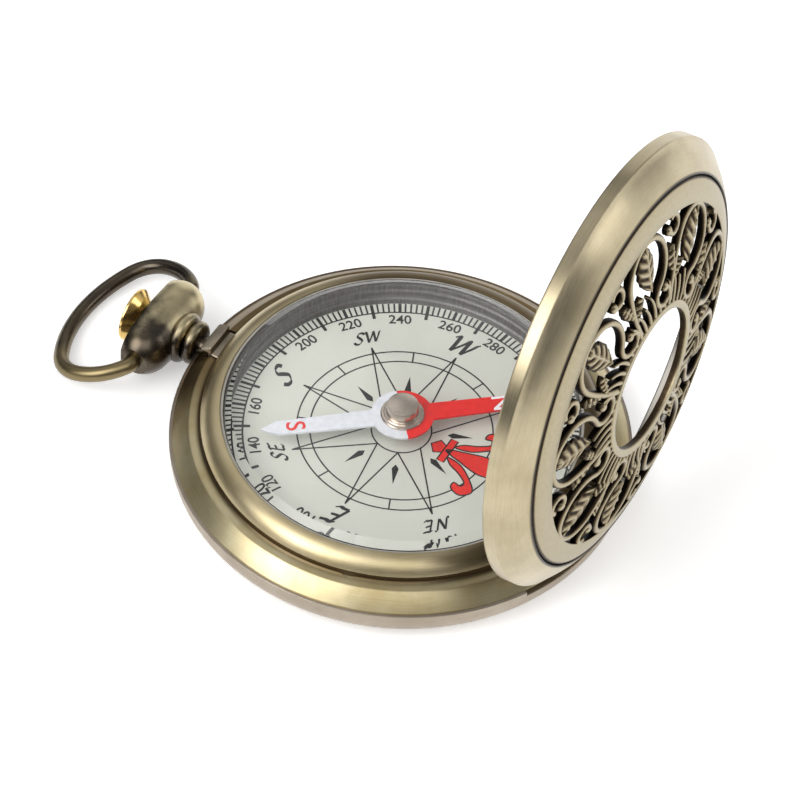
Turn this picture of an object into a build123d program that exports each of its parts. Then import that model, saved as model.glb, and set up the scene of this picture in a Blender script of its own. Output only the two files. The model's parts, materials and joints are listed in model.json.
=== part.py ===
from build123d import *
import os
from math import asin, atan2, cos, degrees, radians, sin, sqrt

# Pocket compass. Millimetres, +Z up, +Y towards the pendant, hinge at -Y.
# The origin is the centre of the flat case back. The lid is drawn closed, then swung open.

# Overall
back_r = 23.75            # widest radius of the case, at the rim of the back
parting_z = 4.2           # height at which back and band meet

# Fits
seat_gap = 0.03           # between pieces that are pressed or glued together
run_gap = 0.05            # between pieces that turn or slide in each other
free_gap = 0.15           # between a moving piece and the slot around it
cut_over_len = 1.0        # how far a cutter runs past what it cuts

# Case back
back_land_h = 0.6         # upright part of the rim
back_rise_h = 0.2         # floor lifts this much before the rounded corner
back_wall = 1.2           # wall at the rounded corner
back_floor_t = 0.7
back_slope_w = 5.35       # sloping ring between the flat foot and the corner
pry_depth = 0.85
pry_h = 0.5
pry_angle = 57.0

# Case band
rim_step_w = 0.35         # band stands back from the rim of the case back
shoulder_w = 2.75
shoulder_h = 2.27
shoulder_crown_h = 0.12
band_land_h = 0.1
skirt_wall = 1.05
skirt_h = 0.9
spigot_wall = 0.55
spigot_h = 0.7

# Bezel and crystal
bezel_w = 2.05
bezel_h = 1.48
bezel_lip_w = 0.12
bezel_crown_h = 0.3
bezel_tail_wall = 0.55
bezel_tail_len = 0.5
gasket_t = 0.25
crystal_seat_h = 0.43     # above the top of the band
crystal_edge_h = 1.05
crystal_bevel_w = 0.85
crystal_bevel_h = 0.5
crystal_dome_h = 1.5
crystal_rim_w = 0.9
crystal_hollow_h = 1.85

# Dial stack
dial_t = 0.5
dial_play_w = 0.25
rehaut_w = 0.95
rehaut_flare_w = 0.15
rehaut_groove_h = 0.18
rehaut_groove_count = 3
carrier_w = 2.6

# Pivot
post_r = 0.8
post_flange_r = 2.2
post_flange_t = 0.9
post_head_r = 1.25
post_head_t = 0.4
pin_r = 0.3
pin_tip_len = 0.9
pin_root_len = 0.8

# Needle
needle_lift_h = 2.2       # underside of the needle above the dial
needle_t = 0.25
needle_ring_r = 3.2
needle_end_gap = 2.8      # between a tip and the ring around the dial
needle_root_w = 2.3
needle_tip_w = 1.75
needle_point_len = 1.7
needle_angle = 130.0      # direction of the white arm
hub_bore_r = 0.95
hub_flange_r = 2.5
hub_flange_t = 0.32
hub_cap_r = 1.5
hub_cap_h = 0.78
hub_roof_t = 0.3
jewel_t = 0.5
jewel_cup_r = 0.3

# Hinge
hinge_inset_w = 0.67      # axis inside the edge of the band
hinge_rise_h = 1.87       # axis above the parting plane
open_angle = 87.4
knuckle_r = 0.75
knuckle_len = 2.2
lid_knuckle_len = 4.4
hinge_pin_r = 0.45
lug_r = 1.1               # case lugs stay inside this distance of the axis

# Lid, heights above its mating plane
lid_over_w = 0.1          # lid stands out past the band
lid_rest_gap = 0.1        # between the closed lid and the shoulder
lid_wall = 1.0
lid_wall_h = 1.35
lid_ridge_w = 0.18
lid_bevel_w = 3.05
lid_bevel_h = 2.35
lid_crown_h = 0.16
lid_bore_h = 1.3
ledge_w = 0.55
ledge_t = 0.5

# Pierced plate
plate_t = 0.8
plate_groove_w = 0.15     # dark line between plate and lid rim
plate_border_w = 2.5
plate_border_h = 0.82
plate_dome_h = 1.34
plate_hole_r = 7.43
plate_lip_w = 1.25        # plain ring round the window
plate_sectors = 9
stem_w = 0.75
bud_r = 0.55              # round end of a curl
leaf_hang_w = 0.25        # leaf tip from the border
rays_per_sector = 8
ray_w = 0.55
loop_share = 0.39         # the shares below are of the width of the scroll
leg_share = 1.645
curl_share = 0.165
curl_in_share = 0.095
border_curl_share = 0.108
leaf_long_share = 0.61
leaf_wide_share = 0.33
bract_long_share = 0.36
bract_wide_share = 0.165
bract_drop_share = 0.35
sprig_long_share = 0.3
sprig_wide_share = 0.14
sprig_drop_share = 0.45
ray_long_share = 0.26
loop_angle = 240.0
curl_angle = 165.0
curl_in_angle = 150.0
border_curl_angle = 285.0
bract_angle = 32.0
sprig_angle = -30.0

# Pendant
neck_r = 1.0
neck_back_gap = 0.3       # between the root and the foot of the catch
neck_show_len = 0.15
bead_one_r = 2.35
bead_one_len = 1.3
bead_two_r = 2.75
bead_two_len = 1.4
bead_round_h = 0.6
head_stand_len = 2.1      # axis of the spindle head past the second bead
head_r = 3.15
head_shoulder_x = 3.0
head_shoulder_r = 2.9
head_end_x = 5.6
head_end_r = 1.7
head_crown_h = 0.32
head_flat_len = 1.5       # outer flat, from the axis
recess_r = 2.1
recess_depth = 0.6

# Push button and stem
button_travel = 0.8
button_neck_r = 1.3
button_neck_len = 1.05
button_play_gap = 0.1
button_cone_r = 1.45
button_r = 2.5
button_cone_len = 1.5
button_rim_t = 0.2
button_dome_h = 0.22
button_proud_len = 0.3    # neck showing between the pendant and the cone
stem_r = 0.6
stem_plug_len = 0.55      # stem length inside the button

# Catch and springs
catch_w = 4.0
catch_inset_w = 0.25      # back of the catch inside the foot of the bezel
catch_t = 0.9
catch_foot_len = 1.2      # below the parting plane
catch_arm_gap = 0.1       # over the root of the pendant
catch_arm_t = 0.6
catch_head_t = 0.5
catch_head_h = 1.0
catch_bite_w = 0.35       # nose behind the lip of the lid
catch_nose_h = 0.45
strip_t = 0.3
strip_drop_h = 1.3
foot_t = 0.3
foot_w = 1.7
foot_angle = 10.0
lock_from_angle = 44.0
lock_to_angle = 97.0
lift_from_angle = 205.0
lift_gap = 0.45           # between the lift strip and the skirt
finger_w = 1.3
finger_side_gap = 0.5     # beside the hinge knuckle
finger_over_h = 0.28      # above the hinge axis
screw_head_r = 0.7
screw_head_t = 0.5
screw_r = 0.4
screw_len = 1.3

# Bow
wire_r = 0.82
bow_pin_len = 1.35
bow_start_len = 0.15      # straight wire outside the pendant end
bow_root_r = 1.3
bow_root_angle = 40.0
bow_side_r = 6.2
bow_side_angle = 50.0
bow_corner_r = 3.9
bow_corner_angle = 60.0
bow_rest_gap = 0.05       # above the surface that the case lies on

# Turns and shares
half_share = 0.5
full_turn = 360.0
half_turn = 180.0
quarter_turn = 90.0


def at(r, z):
    return (r, 0, z)


def bowed(p, q, bulge):
    """Arc from p to q whose middle stands out by bulge to the right of the way."""
    dr = q[0] - p[0]
    dz = q[1] - p[1]
    run = sqrt(dr * dr + dz * dz)
    mid_r = (p[0] + q[0]) * half_share + bulge * dz / run
    mid_z = (p[1] + q[1]) * half_share - bulge * dr / run
    return ThreePointArc(at(*p), at(mid_r, mid_z), at(*q))


def domed(edge_r, edge_z, rise):
    """Arc from the edge of a shallow dome to its crown on the axis."""
    radius = (edge_r * edge_r + rise * rise) / (rise + rise)
    mid_r = edge_r * half_share
    mid_z = edge_z + sqrt(radius * radius - mid_r * mid_r) - (radius - rise)
    return ThreePointArc(at(edge_r, edge_z), at(mid_r, mid_z), at(0, edge_z + rise))


def chain(*points):
    return Polyline(*[at(*p) for p in points]).edges()


def turned(edges):
    """Solid of revolution about Z from a closed chain of edges in the XZ plane."""
    return revolve(make_face(edges), Axis.Z)


def wedge(inner_r, outer_r, bottom_z, top_z, start=0, stop=full_turn):
    """Upright ring, or the part of it between two directions about Z."""
    corner = (inner_r, bottom_z)
    flat = make_face(chain(corner, (outer_r, bottom_z), (outer_r, top_z), (inner_r, top_z), corner))
    return Rot(0, 0, start) * revolve(flat, Axis.Z, stop - start)


def rod(radius, start, end):
    """Round bar between two points."""
    way = Vector(*end) - Vector(*start)
    base = Plane(origin=start, z_dir=way)
    return extrude(base * Circle(radius), way.length)


def hinge_rod(radius, start_x, end_x):
    """Round bar on the axis of the lid hinge."""
    return rod(radius, (start_x, -hinge_y, hinge_z), (end_x, -hinge_y, hinge_z))


def pendant_rod(radius, start_y, end_y):
    """Round bar on the axis of the pendant."""
    return rod(radius, (0, start_y, parting_z), (0, end_y, parting_z))


def block(x0, x1, y0, y1, z0, z1):
    """Box between two corners."""
    mid = ((x0 + x1) * half_share, (y0 + y1) * half_share, (z0 + z1) * half_share)
    return Pos(*mid) * Box(x1 - x0, y1 - y0, z1 - z0)


def polar(radius, direction):
    return (radius * cos(radians(direction)), radius * sin(radians(direction)))


# Stations that follow from the sizes above
band_r = back_r - rim_step_w
band_top_r = band_r - shoulder_w
shoulder_z = parting_z + band_land_h
band_top_z = shoulder_z + shoulder_h
bezel_bore_r = band_top_r - bezel_w
tail_r = bezel_bore_r + bezel_tail_wall
band_bore_r = tail_r + run_gap
skirt_r = back_r - back_wall - run_gap
skirt_in_r = skirt_r - skirt_wall
skirt_z = parting_z - skirt_h
flange_mid_r = (band_bore_r + skirt_in_r) * half_share
dial_r = bezel_bore_r - dial_play_w
dial_z = parting_z + dial_t
hinge_y = band_r - hinge_inset_w
hinge_z = parting_z + hinge_rise_h
lid_r = band_r + lid_over_w
lid_bore_r = lid_r - lid_wall
shoulder_len = sqrt(shoulder_w * shoulder_w + shoulder_h * shoulder_h)
crown_z = shoulder_crown_h * shoulder_len / shoulder_w
lid_z = shoulder_z + (band_r - lid_bore_r) * shoulder_h / shoulder_w + crown_z + lid_rest_gap
hinge_axis = Axis((0, -hinge_y, hinge_z), (1, 0, 0))
bead_y = back_r + neck_show_len
catch_y = band_top_r - catch_inset_w
catch_front_y = catch_y + catch_t
neck_y = catch_front_y + neck_back_gap
catch_arm_z = parting_z + neck_r + catch_arm_gap
nose_z = catch_arm_z + catch_arm_t
catch_head_y = band_top_r + button_travel + run_gap
catch_nose_y = lid_bore_r + catch_bite_w
catch_half = catch_w * half_share
parts = {}

# Case back: turned cup with a rounded corner, pry slot under the hinge, notch for the pendant
corner_z = parting_z - back_land_h
back_corner_r = corner_z - back_rise_h
corner_at_r = back_r - back_corner_r
inner_corner_r = back_corner_r - back_wall
cup_bore_r = back_r - back_wall
diagonal_share = sin(radians(quarter_turn * half_share))
dip = back_corner_r * diagonal_share
inner_dip = inner_corner_r * diagonal_share
back_foot_r = corner_at_r - back_slope_w
back_edges = [
    *chain((0, back_floor_t), (0, 0), (back_foot_r, 0), (corner_at_r, back_rise_h)),
    ThreePointArc(
        at(corner_at_r, back_rise_h), at(corner_at_r + dip, corner_z - dip), at(back_r, corner_z)
    ),
    *chain((back_r, corner_z), (back_r, parting_z), (cup_bore_r, parting_z), (cup_bore_r, corner_z)),
    ThreePointArc(
        at(cup_bore_r, corner_z), at(corner_at_r + inner_dip, corner_z - inner_dip),
        at(corner_at_r, corner_z - inner_corner_r),
    ),
    *chain((corner_at_r, corner_z - inner_corner_r), (dial_r, back_floor_t), (0, back_floor_t)),
]
case_back = turned(back_edges)
pry_start = -quarter_turn - pry_angle * half_share
case_back -= wedge(
    back_r - pry_depth, back_r + cut_over_len, parting_z - pry_h, parting_z + cut_over_len,
    pry_start, pry_start + pry_angle,
)
case_back -= pendant_rod(neck_r + run_gap, skirt_in_r, bead_y)
parts["case_back"] = case_back

# Case band: cone with a skirt inside the back and a spigot inside the bezel
spigot_r = band_bore_r + spigot_wall
spigot_z = band_top_z + spigot_h
band_edges = [
    *chain(
        (band_bore_r, spigot_z), (band_bore_r, parting_z), (skirt_in_r, parting_z), (skirt_in_r, skirt_z),
        (skirt_r, skirt_z), (skirt_r, parting_z), (band_r, parting_z), (band_r, shoulder_z),
    ),
    bowed((band_r, shoulder_z), (band_top_r, band_top_z), shoulder_crown_h),
    *chain((band_top_r, band_top_z), (spigot_r, band_top_z), (spigot_r, spigot_z), (band_bore_r, spigot_z)),
]
case_band = turned(band_edges)
case_band -= pendant_rod(neck_r + seat_gap, catch_y, back_r)

# Groove that clears the lower edge of the lid as it turns
lid_edge_r = sqrt((lid_r - hinge_y) * (lid_r - hinge_y) + (hinge_z - lid_z) * (hinge_z - lid_z))
groove_r = lid_edge_r + free_gap
groove_front_y = hinge_y - knuckle_r
groove_half = sqrt(lid_r * lid_r - groove_front_y * groove_front_y)
case_band -= hinge_rod(groove_r, -groove_half, groove_half)

# Slot for the catch: a well under the shoulder and a window through it
well_half = catch_half + free_gap
case_band -= block(
    -well_half, well_half, catch_y - button_travel - free_gap, catch_front_y + free_gap,
    skirt_z, nose_z + free_gap,
)
case_band -= block(
    -well_half, well_half, band_top_r + run_gap, catch_head_y + catch_head_t + free_gap,
    catch_arm_z - free_gap, spigot_z,
)

# Hinge knuckles on the case, on short lugs
knuckle_from = lid_knuckle_len * half_share + run_gap
knuckle_to = knuckle_from + knuckle_len
for low_x, high_x in ((knuckle_from, knuckle_to), (-knuckle_to, -knuckle_from)):
    foot = block(low_x, high_x, -hinge_y - knuckle_r, -hinge_y + knuckle_r, hinge_z - groove_r - run_gap, hinge_z)
    case_band += hinge_rod(knuckle_r, low_x, high_x) + (foot & hinge_rod(groove_r + run_gap, low_x, high_x))
case_band -= hinge_rod(hinge_pin_r + seat_gap, -knuckle_to, knuckle_to)

# Slot for the finger of the lift spring, and the screw holes under the flange
strip_out_r = skirt_in_r - lift_gap
finger_half = finger_w * half_share
finger_x = knuckle_to + finger_side_gap + finger_half
finger_y = sqrt(strip_out_r * strip_out_r - finger_x * finger_x)
case_band -= block(
    -finger_x - finger_half - free_gap, -finger_x + finger_half + free_gap,
    -finger_y - strip_t - free_gap, -finger_y + strip_t + free_gap, skirt_z, spigot_z,
)
screw_places = [
    polar(flange_mid_r, direction - foot_angle * half_share) for direction in (lock_from_angle, lift_from_angle)
]
for x, y in screw_places:
    case_band -= rod(screw_r + seat_gap, (x, y, parting_z), (x, y, parting_z + screw_len))
parts["case_band"] = case_band

# Bezel: sloped ring over the spigot
bezel_foot_r = band_top_r - run_gap
bezel_z = band_top_z + seat_gap
bezel_top_z = band_top_z + bezel_h
bezel_top_r = bezel_bore_r + bezel_lip_w
tail_z = bezel_z - bezel_tail_len
spigot_seat_r = spigot_r + seat_gap
spigot_seat_z = spigot_z + seat_gap
parts["bezel"] = turned([
    bowed((bezel_foot_r, bezel_z), (bezel_top_r, bezel_top_z), bezel_crown_h),
    *chain(
        (bezel_top_r, bezel_top_z), (bezel_bore_r, bezel_top_z), (bezel_bore_r, tail_z), (tail_r, tail_z),
        (tail_r, spigot_seat_z), (spigot_seat_r, spigot_seat_z), (spigot_seat_r, bezel_z), (bezel_foot_r, bezel_z),
    ),
])

# Gasket and domed crystal
gasket_r = bezel_bore_r - seat_gap
crystal_r = gasket_r - gasket_t - seat_gap
crystal_z = band_top_z + crystal_seat_h
parts["crystal_gasket"] = wedge(gasket_r - gasket_t, gasket_r, crystal_z, bezel_top_z - bezel_lip_w)
bevel_z = crystal_z + crystal_edge_h
dome_z = bevel_z + crystal_bevel_h
dome_r = crystal_r - crystal_bevel_w
hollow_r = crystal_r - crystal_rim_w
parts["crystal"] = turned([
    *chain((hollow_r, crystal_z), (crystal_r, crystal_z), (crystal_r, bevel_z), (dome_r, dome_z)),
    domed(dome_r, dome_z, crystal_dome_h),
    *chain((0, dome_z + crystal_dome_h), (0, crystal_z + crystal_hollow_h)),
    domed(hollow_r, crystal_z, crystal_hollow_h),
])

# Dial, the grooved ring above it and the carrier below it
dial_flat = Circle(dial_r) - Circle(post_r + seat_gap)
parts["dial"] = Pos(0, 0, parting_z) * extrude(dial_flat, dial_t)
rehaut_r = dial_r - rehaut_w
rehaut_z = crystal_z - seat_gap
groove_pitch = (rehaut_z - dial_z) / rehaut_groove_count
rehaut_points = [(dial_r, dial_z), (dial_r, rehaut_z)]
for count in range(rehaut_groove_count, 0, -1):
    step_r = rehaut_r + rehaut_flare_w * count
    step_z = dial_z + groove_pitch * count
    rehaut_points += [(step_r, step_z), (step_r - rehaut_flare_w, step_z - rehaut_groove_h)]
rehaut_points += [(rehaut_r, dial_z), (dial_r, dial_z)]
parts["rehaut_ring"] = turned(chain(*rehaut_points))
parts["movement_ring"] = wedge(dial_r - carrier_w, dial_r, back_floor_t + seat_gap, parting_z)

# Pivot post riveted through the dial, and the needle's point
post_head_z = dial_z + post_head_t
pin_z = parting_z - pin_root_len
post = Pos(0, 0, parting_z - post_flange_t) * extrude(Circle(post_flange_r), post_flange_t)
post += Pos(0, 0, parting_z) * extrude(Circle(post_r), dial_t)
post += Pos(0, 0, dial_z) * extrude(Circle(post_head_r), post_head_t)
post -= rod(pin_r + seat_gap, (0, 0, pin_z), (0, 0, post_head_z))
parts["pivot_post"] = post
needle_z = dial_z + needle_lift_h
hub_z = needle_z + needle_t
hub_step_z = hub_z + hub_flange_t
hub_top_z = hub_step_z + hub_cap_h
jewel_top_z = hub_top_z - hub_roof_t
jewel_z = jewel_top_z - jewel_t
tip_z = jewel_z + jewel_cup_r - run_gap
parts["pivot_pin"] = turned(
    chain((0, pin_z), (pin_r, pin_z), (pin_r, tip_z - pin_tip_len), (0, tip_z), (0, pin_z))
)

# Needle: ring with two tapered arms, under a stepped hub with a jewel
needle_reach = rehaut_r - needle_end_gap
root_half = needle_root_w * half_share
tip_half = needle_tip_w * half_share
point_x = needle_reach - needle_point_len
arm = make_face(Polyline(
    (0, -root_half), (point_x, -tip_half), (needle_reach, 0), (point_x, tip_half), (0, root_half), close=True
))
needle_flat = Circle(needle_ring_r) + arm + Rot(0, 0, half_turn) * arm - Circle(hub_bore_r)
parts["needle"] = Pos(0, 0, needle_z) * Rot(0, 0, needle_angle) * extrude(needle_flat, needle_t)
parts["needle_hub"] = turned(chain(
    (hub_bore_r, hub_z), (hub_flange_r, hub_z), (hub_flange_r, hub_z + hub_flange_t * half_share),
    (hub_cap_r, hub_step_z), (hub_cap_r, hub_top_z), (0, hub_top_z), (0, jewel_top_z),
    (hub_bore_r, jewel_top_z), (hub_bore_r, hub_z),
))
jewel_r = hub_bore_r - seat_gap
parts["needle_jewel"] = turned(chain(
    (0, jewel_top_z), (0, jewel_z + jewel_cup_r), (jewel_cup_r, jewel_z), (jewel_r, jewel_z),
    (jewel_r, jewel_top_z), (0, jewel_top_z),
))
parts["hinge_pin"] = hinge_rod(hinge_pin_r, -knuckle_to, knuckle_to)

# Pendant: neck and beads about Y, spindle head about X
bead_two_y = bead_y + bead_one_len
bead_end_y = bead_two_y + bead_two_len
head_y = bead_end_y + head_stand_len
bead_one_foot_r = bead_one_r - bead_round_h
bead_two_foot_r = bead_two_r - bead_round_h
neck = turned([
    *chain((0, neck_y), (neck_r, neck_y), (neck_r, bead_y), (bead_one_foot_r, bead_y)),
    bowed((bead_one_foot_r, bead_y), (bead_one_foot_r, bead_two_y), bead_round_h),
    *chain((bead_one_foot_r, bead_two_y), (bead_two_foot_r, bead_two_y)),
    bowed((bead_two_foot_r, bead_two_y), (bead_two_foot_r, bead_end_y), bead_round_h),
    *chain((bead_two_foot_r, bead_end_y), (bead_two_foot_r, head_y), (0, head_y), (0, neck_y)),
])
head = turned([
    bowed((head_end_r, -head_end_x), (head_shoulder_r, -head_shoulder_x), head_crown_h),
    ThreePointArc(at(head_shoulder_r, -head_shoulder_x), at(head_r, 0), at(head_shoulder_r, head_shoulder_x)),
    bowed((head_shoulder_r, head_shoulder_x), (head_end_r, head_end_x), head_crown_h),
    *chain((head_end_r, head_end_x), (0, head_end_x), (0, -head_end_x), (head_end_r, -head_end_x)),
])
pendant = Pos(0, 0, parting_z) * Rot(-quarter_turn, 0, 0) * neck
pendant += Pos(0, head_y, parting_z) * Rot(0, quarter_turn, 0) * head
face_y = head_y + head_flat_len
head_over = head_r + cut_over_len
pendant -= block(
    -head_end_x, head_end_x, face_y, head_y + head_over, parting_z - head_over, parting_z + head_over
)
button_bore_len = button_neck_len - button_proud_len + button_travel + free_gap
pendant -= pendant_rod(recess_r, face_y - recess_depth, face_y + cut_over_len)
pendant -= pendant_rod(button_neck_r + button_play_gap, face_y - button_bore_len, face_y)
pendant -= pendant_rod(stem_r + run_gap, neck_y, face_y)
bow_out_x = head_end_x + bow_start_len
bow_in_x = bow_out_x - bow_pin_len
for side in (1, -1):
    pendant -= rod(
        wire_r + run_gap, (side * (bow_in_x - run_gap), head_y, parting_z), (side * bow_out_x, head_y, parting_z)
    )
parts["pendant"] = pendant

# Push button and its stem
cone_y = face_y + button_proud_len
button_y = cone_y - button_neck_len
cone_end_y = cone_y + button_cone_len
button_top_y = cone_end_y + button_rim_t
button = turned([
    *chain((0, button_y), (button_neck_r, button_y), (button_neck_r, cone_y), (button_cone_r, cone_y)),
    bowed((button_cone_r, cone_y), (button_r, cone_end_y), -button_dome_h),
    *chain((button_r, cone_end_y), (button_r, button_top_y)),
    domed(button_r, button_top_y, button_dome_h),
    *chain((0, button_top_y + button_dome_h), (0, button_y)),
])
stem_end_y = button_y + stem_plug_len
button = Pos(0, 0, parting_z) * Rot(-quarter_turn, 0, 0) * button
parts["push_button"] = button - pendant_rod(stem_r + seat_gap, button_y, stem_end_y + seat_gap)
parts["button_stem"] = pendant_rod(stem_r, catch_front_y + run_gap, stem_end_y)

# Catch: bent tooth, foot behind the stem and nose above the shoulder
catch_foot_z = parting_z - catch_foot_len
head_front_y = catch_head_y + catch_head_t
catch_points = [
    (catch_y, catch_foot_z), (catch_front_y, catch_foot_z), (catch_front_y, catch_arm_z),
    (head_front_y, catch_arm_z), (head_front_y, nose_z), (catch_nose_y, nose_z),
    (catch_nose_y, nose_z + catch_nose_h), (catch_head_y, nose_z + catch_head_h), (catch_head_y, nose_z),
    (catch_y, nose_z),
]
catch_side = make_face(Polyline(*[(0, y, z) for y, z in catch_points], close=True))
parts["catch"] = extrude(catch_side, catch_half, dir=(1, 0, 0), both=True)

# Springs under the flange, each held by one screw
strip_z = parting_z - strip_drop_h
foot_top_z = parting_z - seat_gap
foot_z = foot_top_z - foot_t
foot_in_r = flange_mid_r - foot_w * half_share
lift_to_angle = half_turn + degrees(atan2(finger_y, finger_x))
lock_r = catch_y - run_gap
springs = {}
for name, outer_r, start, stop in (
    ("lock_spring", lock_r, lock_from_angle, lock_to_angle), ("lift_spring", strip_out_r, lift_from_angle, lift_to_angle)
):
    springs[name] = wedge(outer_r - strip_t, outer_r, strip_z, foot_top_z, start, stop)
    springs[name] += wedge(
        foot_in_r, foot_in_r + foot_w, foot_z, foot_top_z, start - foot_angle, start + foot_angle * half_share
    )
    for x, y in screw_places:
        springs[name] -= rod(screw_r + seat_gap, (x, y, strip_z), (x, y, parting_z))

# Finger of the lift spring, up through its slot and bent out to the edge of the open lid
finger_top_z = hinge_z + finger_over_h
finger_tip_y = hinge_y - (hinge_z - lid_z) - free_gap
finger_from = -finger_x - finger_half
finger_to = -finger_x + finger_half
strip_half = strip_t * half_share
springs["lift_spring"] += block(
    finger_from, finger_to, -finger_y - strip_half, -finger_y + strip_half, strip_z, finger_top_z
)
springs["lift_spring"] += block(
    finger_from, finger_to, -finger_tip_y, -finger_y, finger_top_z - strip_t, finger_top_z
)
parts.update(springs)
screw_z = foot_z - seat_gap
screws = []
for x, y in screw_places:
    screw = rod(screw_head_r, (x, y, screw_z - screw_head_t), (x, y, screw_z))
    screw += rod(screw_r, (x, y, screw_z), (x, y, parting_z + screw_len - seat_gap))
    screws.append(screw.solid())
parts["spring_screws"] = Compound(children=screws)

# Lid rim, drawn closed, heights above the mating plane
lid_bevel_r = lid_r - lid_bevel_w
lid_top_h = lid_wall_h + lid_bevel_h
ridge_r = lid_r - lid_ridge_w
ridge_h = lid_wall_h + lid_ridge_w * half_share
ledge_r = lid_bevel_r - ledge_w
ledge_h = lid_top_h - plate_t
under_h = ledge_h - ledge_t
under_r = lid_bore_r - (under_h - lid_bore_h) * lid_bevel_w / lid_bevel_h
lid_rim = Pos(0, 0, lid_z) * turned([
    *chain((lid_bore_r, 0), (lid_r, 0), (lid_r, lid_wall_h), (ridge_r, ridge_h)),
    bowed((ridge_r, ridge_h), (lid_bevel_r, lid_top_h), lid_crown_h),
    *chain(
        (lid_bevel_r, lid_top_h), (lid_bevel_r, ledge_h), (ledge_r, ledge_h), (ledge_r, under_h),
        (under_r, under_h), (lid_bore_r, lid_bore_h), (lid_bore_r, 0),
    ),
])
lid_knuckle_half = lid_knuckle_len * half_share
lid_rim += hinge_rod(knuckle_r, -lid_knuckle_half, lid_knuckle_half)
for side in (1, -1):
    lid_rim -= hinge_rod(lug_r + run_gap, side * lid_knuckle_half, side * (knuckle_to + run_gap))
lid_rim -= hinge_rod(hinge_pin_r + run_gap, -knuckle_to, knuckle_to)
lid_rim -= block(
    -well_half, well_half, catch_head_y, catch_nose_y + button_play_gap,
    nose_z - run_gap, nose_z + catch_nose_h + free_gap + free_gap,
)
parts["lid_rim"] = lid_rim.rotate(hinge_axis, open_angle)

# Pierced plate: domed disc with a plain border and a window
plate_r = lid_bevel_r - plate_groove_w
plate_ring_r = plate_r - plate_border_w
ring_h = lid_top_h + plate_border_h
hole_h = ring_h + plate_dome_h
mid_r = (plate_ring_r + plate_hole_r) * half_share
dome_run = plate_ring_r * plate_ring_r - plate_hole_r * plate_hole_r
mid_h = ring_h + plate_dome_h * (plate_ring_r * plate_ring_r - mid_r * mid_r) / dome_run
plate = turned([
    *chain((plate_r, ledge_h), (plate_r, lid_top_h), (plate_ring_r, ring_h)),
    ThreePointArc(at(plate_ring_r, ring_h), at(mid_r, mid_h), at(plate_hole_r, hole_h)),
    *chain((plate_hole_r, hole_h), (plate_hole_r, hole_h - plate_t)),
    ThreePointArc(
        at(plate_hole_r, hole_h - plate_t), at(mid_r, mid_h - plate_t), at(plate_ring_r, ring_h - plate_t)
    ),
    *chain((plate_ring_r, ring_h - plate_t), (ledge_r, ledge_h), (plate_r, ledge_h)),
])


def stem(centre, radius, start, turn):
    """Curved strip of the scroll, as wide as a stem."""
    half_w = stem_w * half_share
    outer = CenterArc(centre, radius + half_w, start, turn)
    inner = CenterArc(centre, radius - half_w, start, turn)
    return make_face([outer, inner, Line(outer @ 0, inner @ 0), Line(outer @ 1, inner @ 1)])


def leaf(length, width):
    """Pointed leaf from the origin along +Y."""
    half_w = width * half_share
    half_len = length * half_share
    right = ThreePointArc((0, 0), (half_w, half_len), (0, length))
    left = ThreePointArc((0, length), (-half_w, half_len), (0, 0))
    return make_face([right, left])


def ahead(centre, radius, direction):
    dx, dy = polar(radius, direction)
    return (centre[0] + dx, centre[1] + dy)


# One sector of the leaf scroll, upright on +Y: an arch on a long stem, a leaf hanging in it,
# a curl that leaves its open end, a curl on the border, a small leaf on each side of the stem, short rays
lip_r = plate_hole_r + plate_lip_w
scroll_w = plate_ring_r - lip_r
sector_angle = full_turn / plate_sectors
loop_r = scroll_w * loop_share
loop_c = (0, plate_ring_r - loop_r)
loop_end = half_turn - loop_angle
sector = stem(loop_c, loop_r, loop_end, loop_angle)
leg_r = scroll_w * leg_share
leg_c = (leg_r - loop_r, loop_c[1])
leg_drop = loop_c[1] - lip_r + stem_w * half_share
sector += stem(leg_c, leg_r, half_turn, degrees(asin(leg_drop / leg_r)))
curl_r = scroll_w * curl_share
curl_c = ahead(loop_c, loop_r + curl_r, loop_end)
curl_end = loop_end + half_turn + curl_angle
sector += stem(curl_c, curl_r, loop_end + half_turn, curl_angle)
curl_in_r = scroll_w * curl_in_share
curl_in_c = ahead(curl_c, curl_r - curl_in_r, curl_end)
sector += stem(curl_in_c, curl_in_r, curl_end, curl_in_angle)
sector += Pos(*ahead(curl_in_c, curl_in_r, curl_end + curl_in_angle)) * Circle(bud_r)
border_curl_r = scroll_w * border_curl_share
border_dir = quarter_turn - sector_angle * half_share
border_c = polar(plate_ring_r - border_curl_r, border_dir)
border_from = border_dir - border_curl_angle + quarter_turn * half_share
sector += stem(border_c, border_curl_r, border_from, border_curl_angle)
sector += Pos(*ahead(border_c, border_curl_r, border_from)) * Circle(bud_r)
leaf_place = Pos(0, plate_ring_r - leaf_hang_w) * Rot(0, 0, half_turn)
sector += leaf_place * leaf(scroll_w * leaf_long_share, scroll_w * leaf_wide_share)
for drop_share, long_share, wide_share, lean_angle in (
    (bract_drop_share, bract_long_share, bract_wide_share, bract_angle),
    (sprig_drop_share, sprig_long_share, sprig_wide_share, sprig_angle),
):
    leaf_drop = scroll_w * drop_share
    leaf_place = Pos(leg_c[0] - sqrt(leg_r * leg_r - leaf_drop * leaf_drop), leg_c[1] - leaf_drop)
    sector += leaf_place * Rot(0, 0, lean_angle) * leaf(scroll_w * long_share, scroll_w * wide_share)
ray_half = ray_w * half_share
ray_root_y = lip_r - stem_w * half_share
ray_tip_y = lip_r + scroll_w * ray_long_share
ray = make_face(Polyline((-ray_half, ray_root_y), (ray_half, ray_root_y), (0, ray_tip_y), close=True))
ray_angle = sector_angle / rays_per_sector
for count in range(rays_per_sector):
    sector += Rot(0, 0, ray_angle * (count + half_share) - sector_angle * half_share) * ray
scroll = Circle(lip_r)
for count in range(plate_sectors):
    scroll += Rot(0, 0, sector_angle * count) * sector
plate -= extrude(Circle(plate_ring_r) - scroll, hole_h + cut_over_len)
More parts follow.
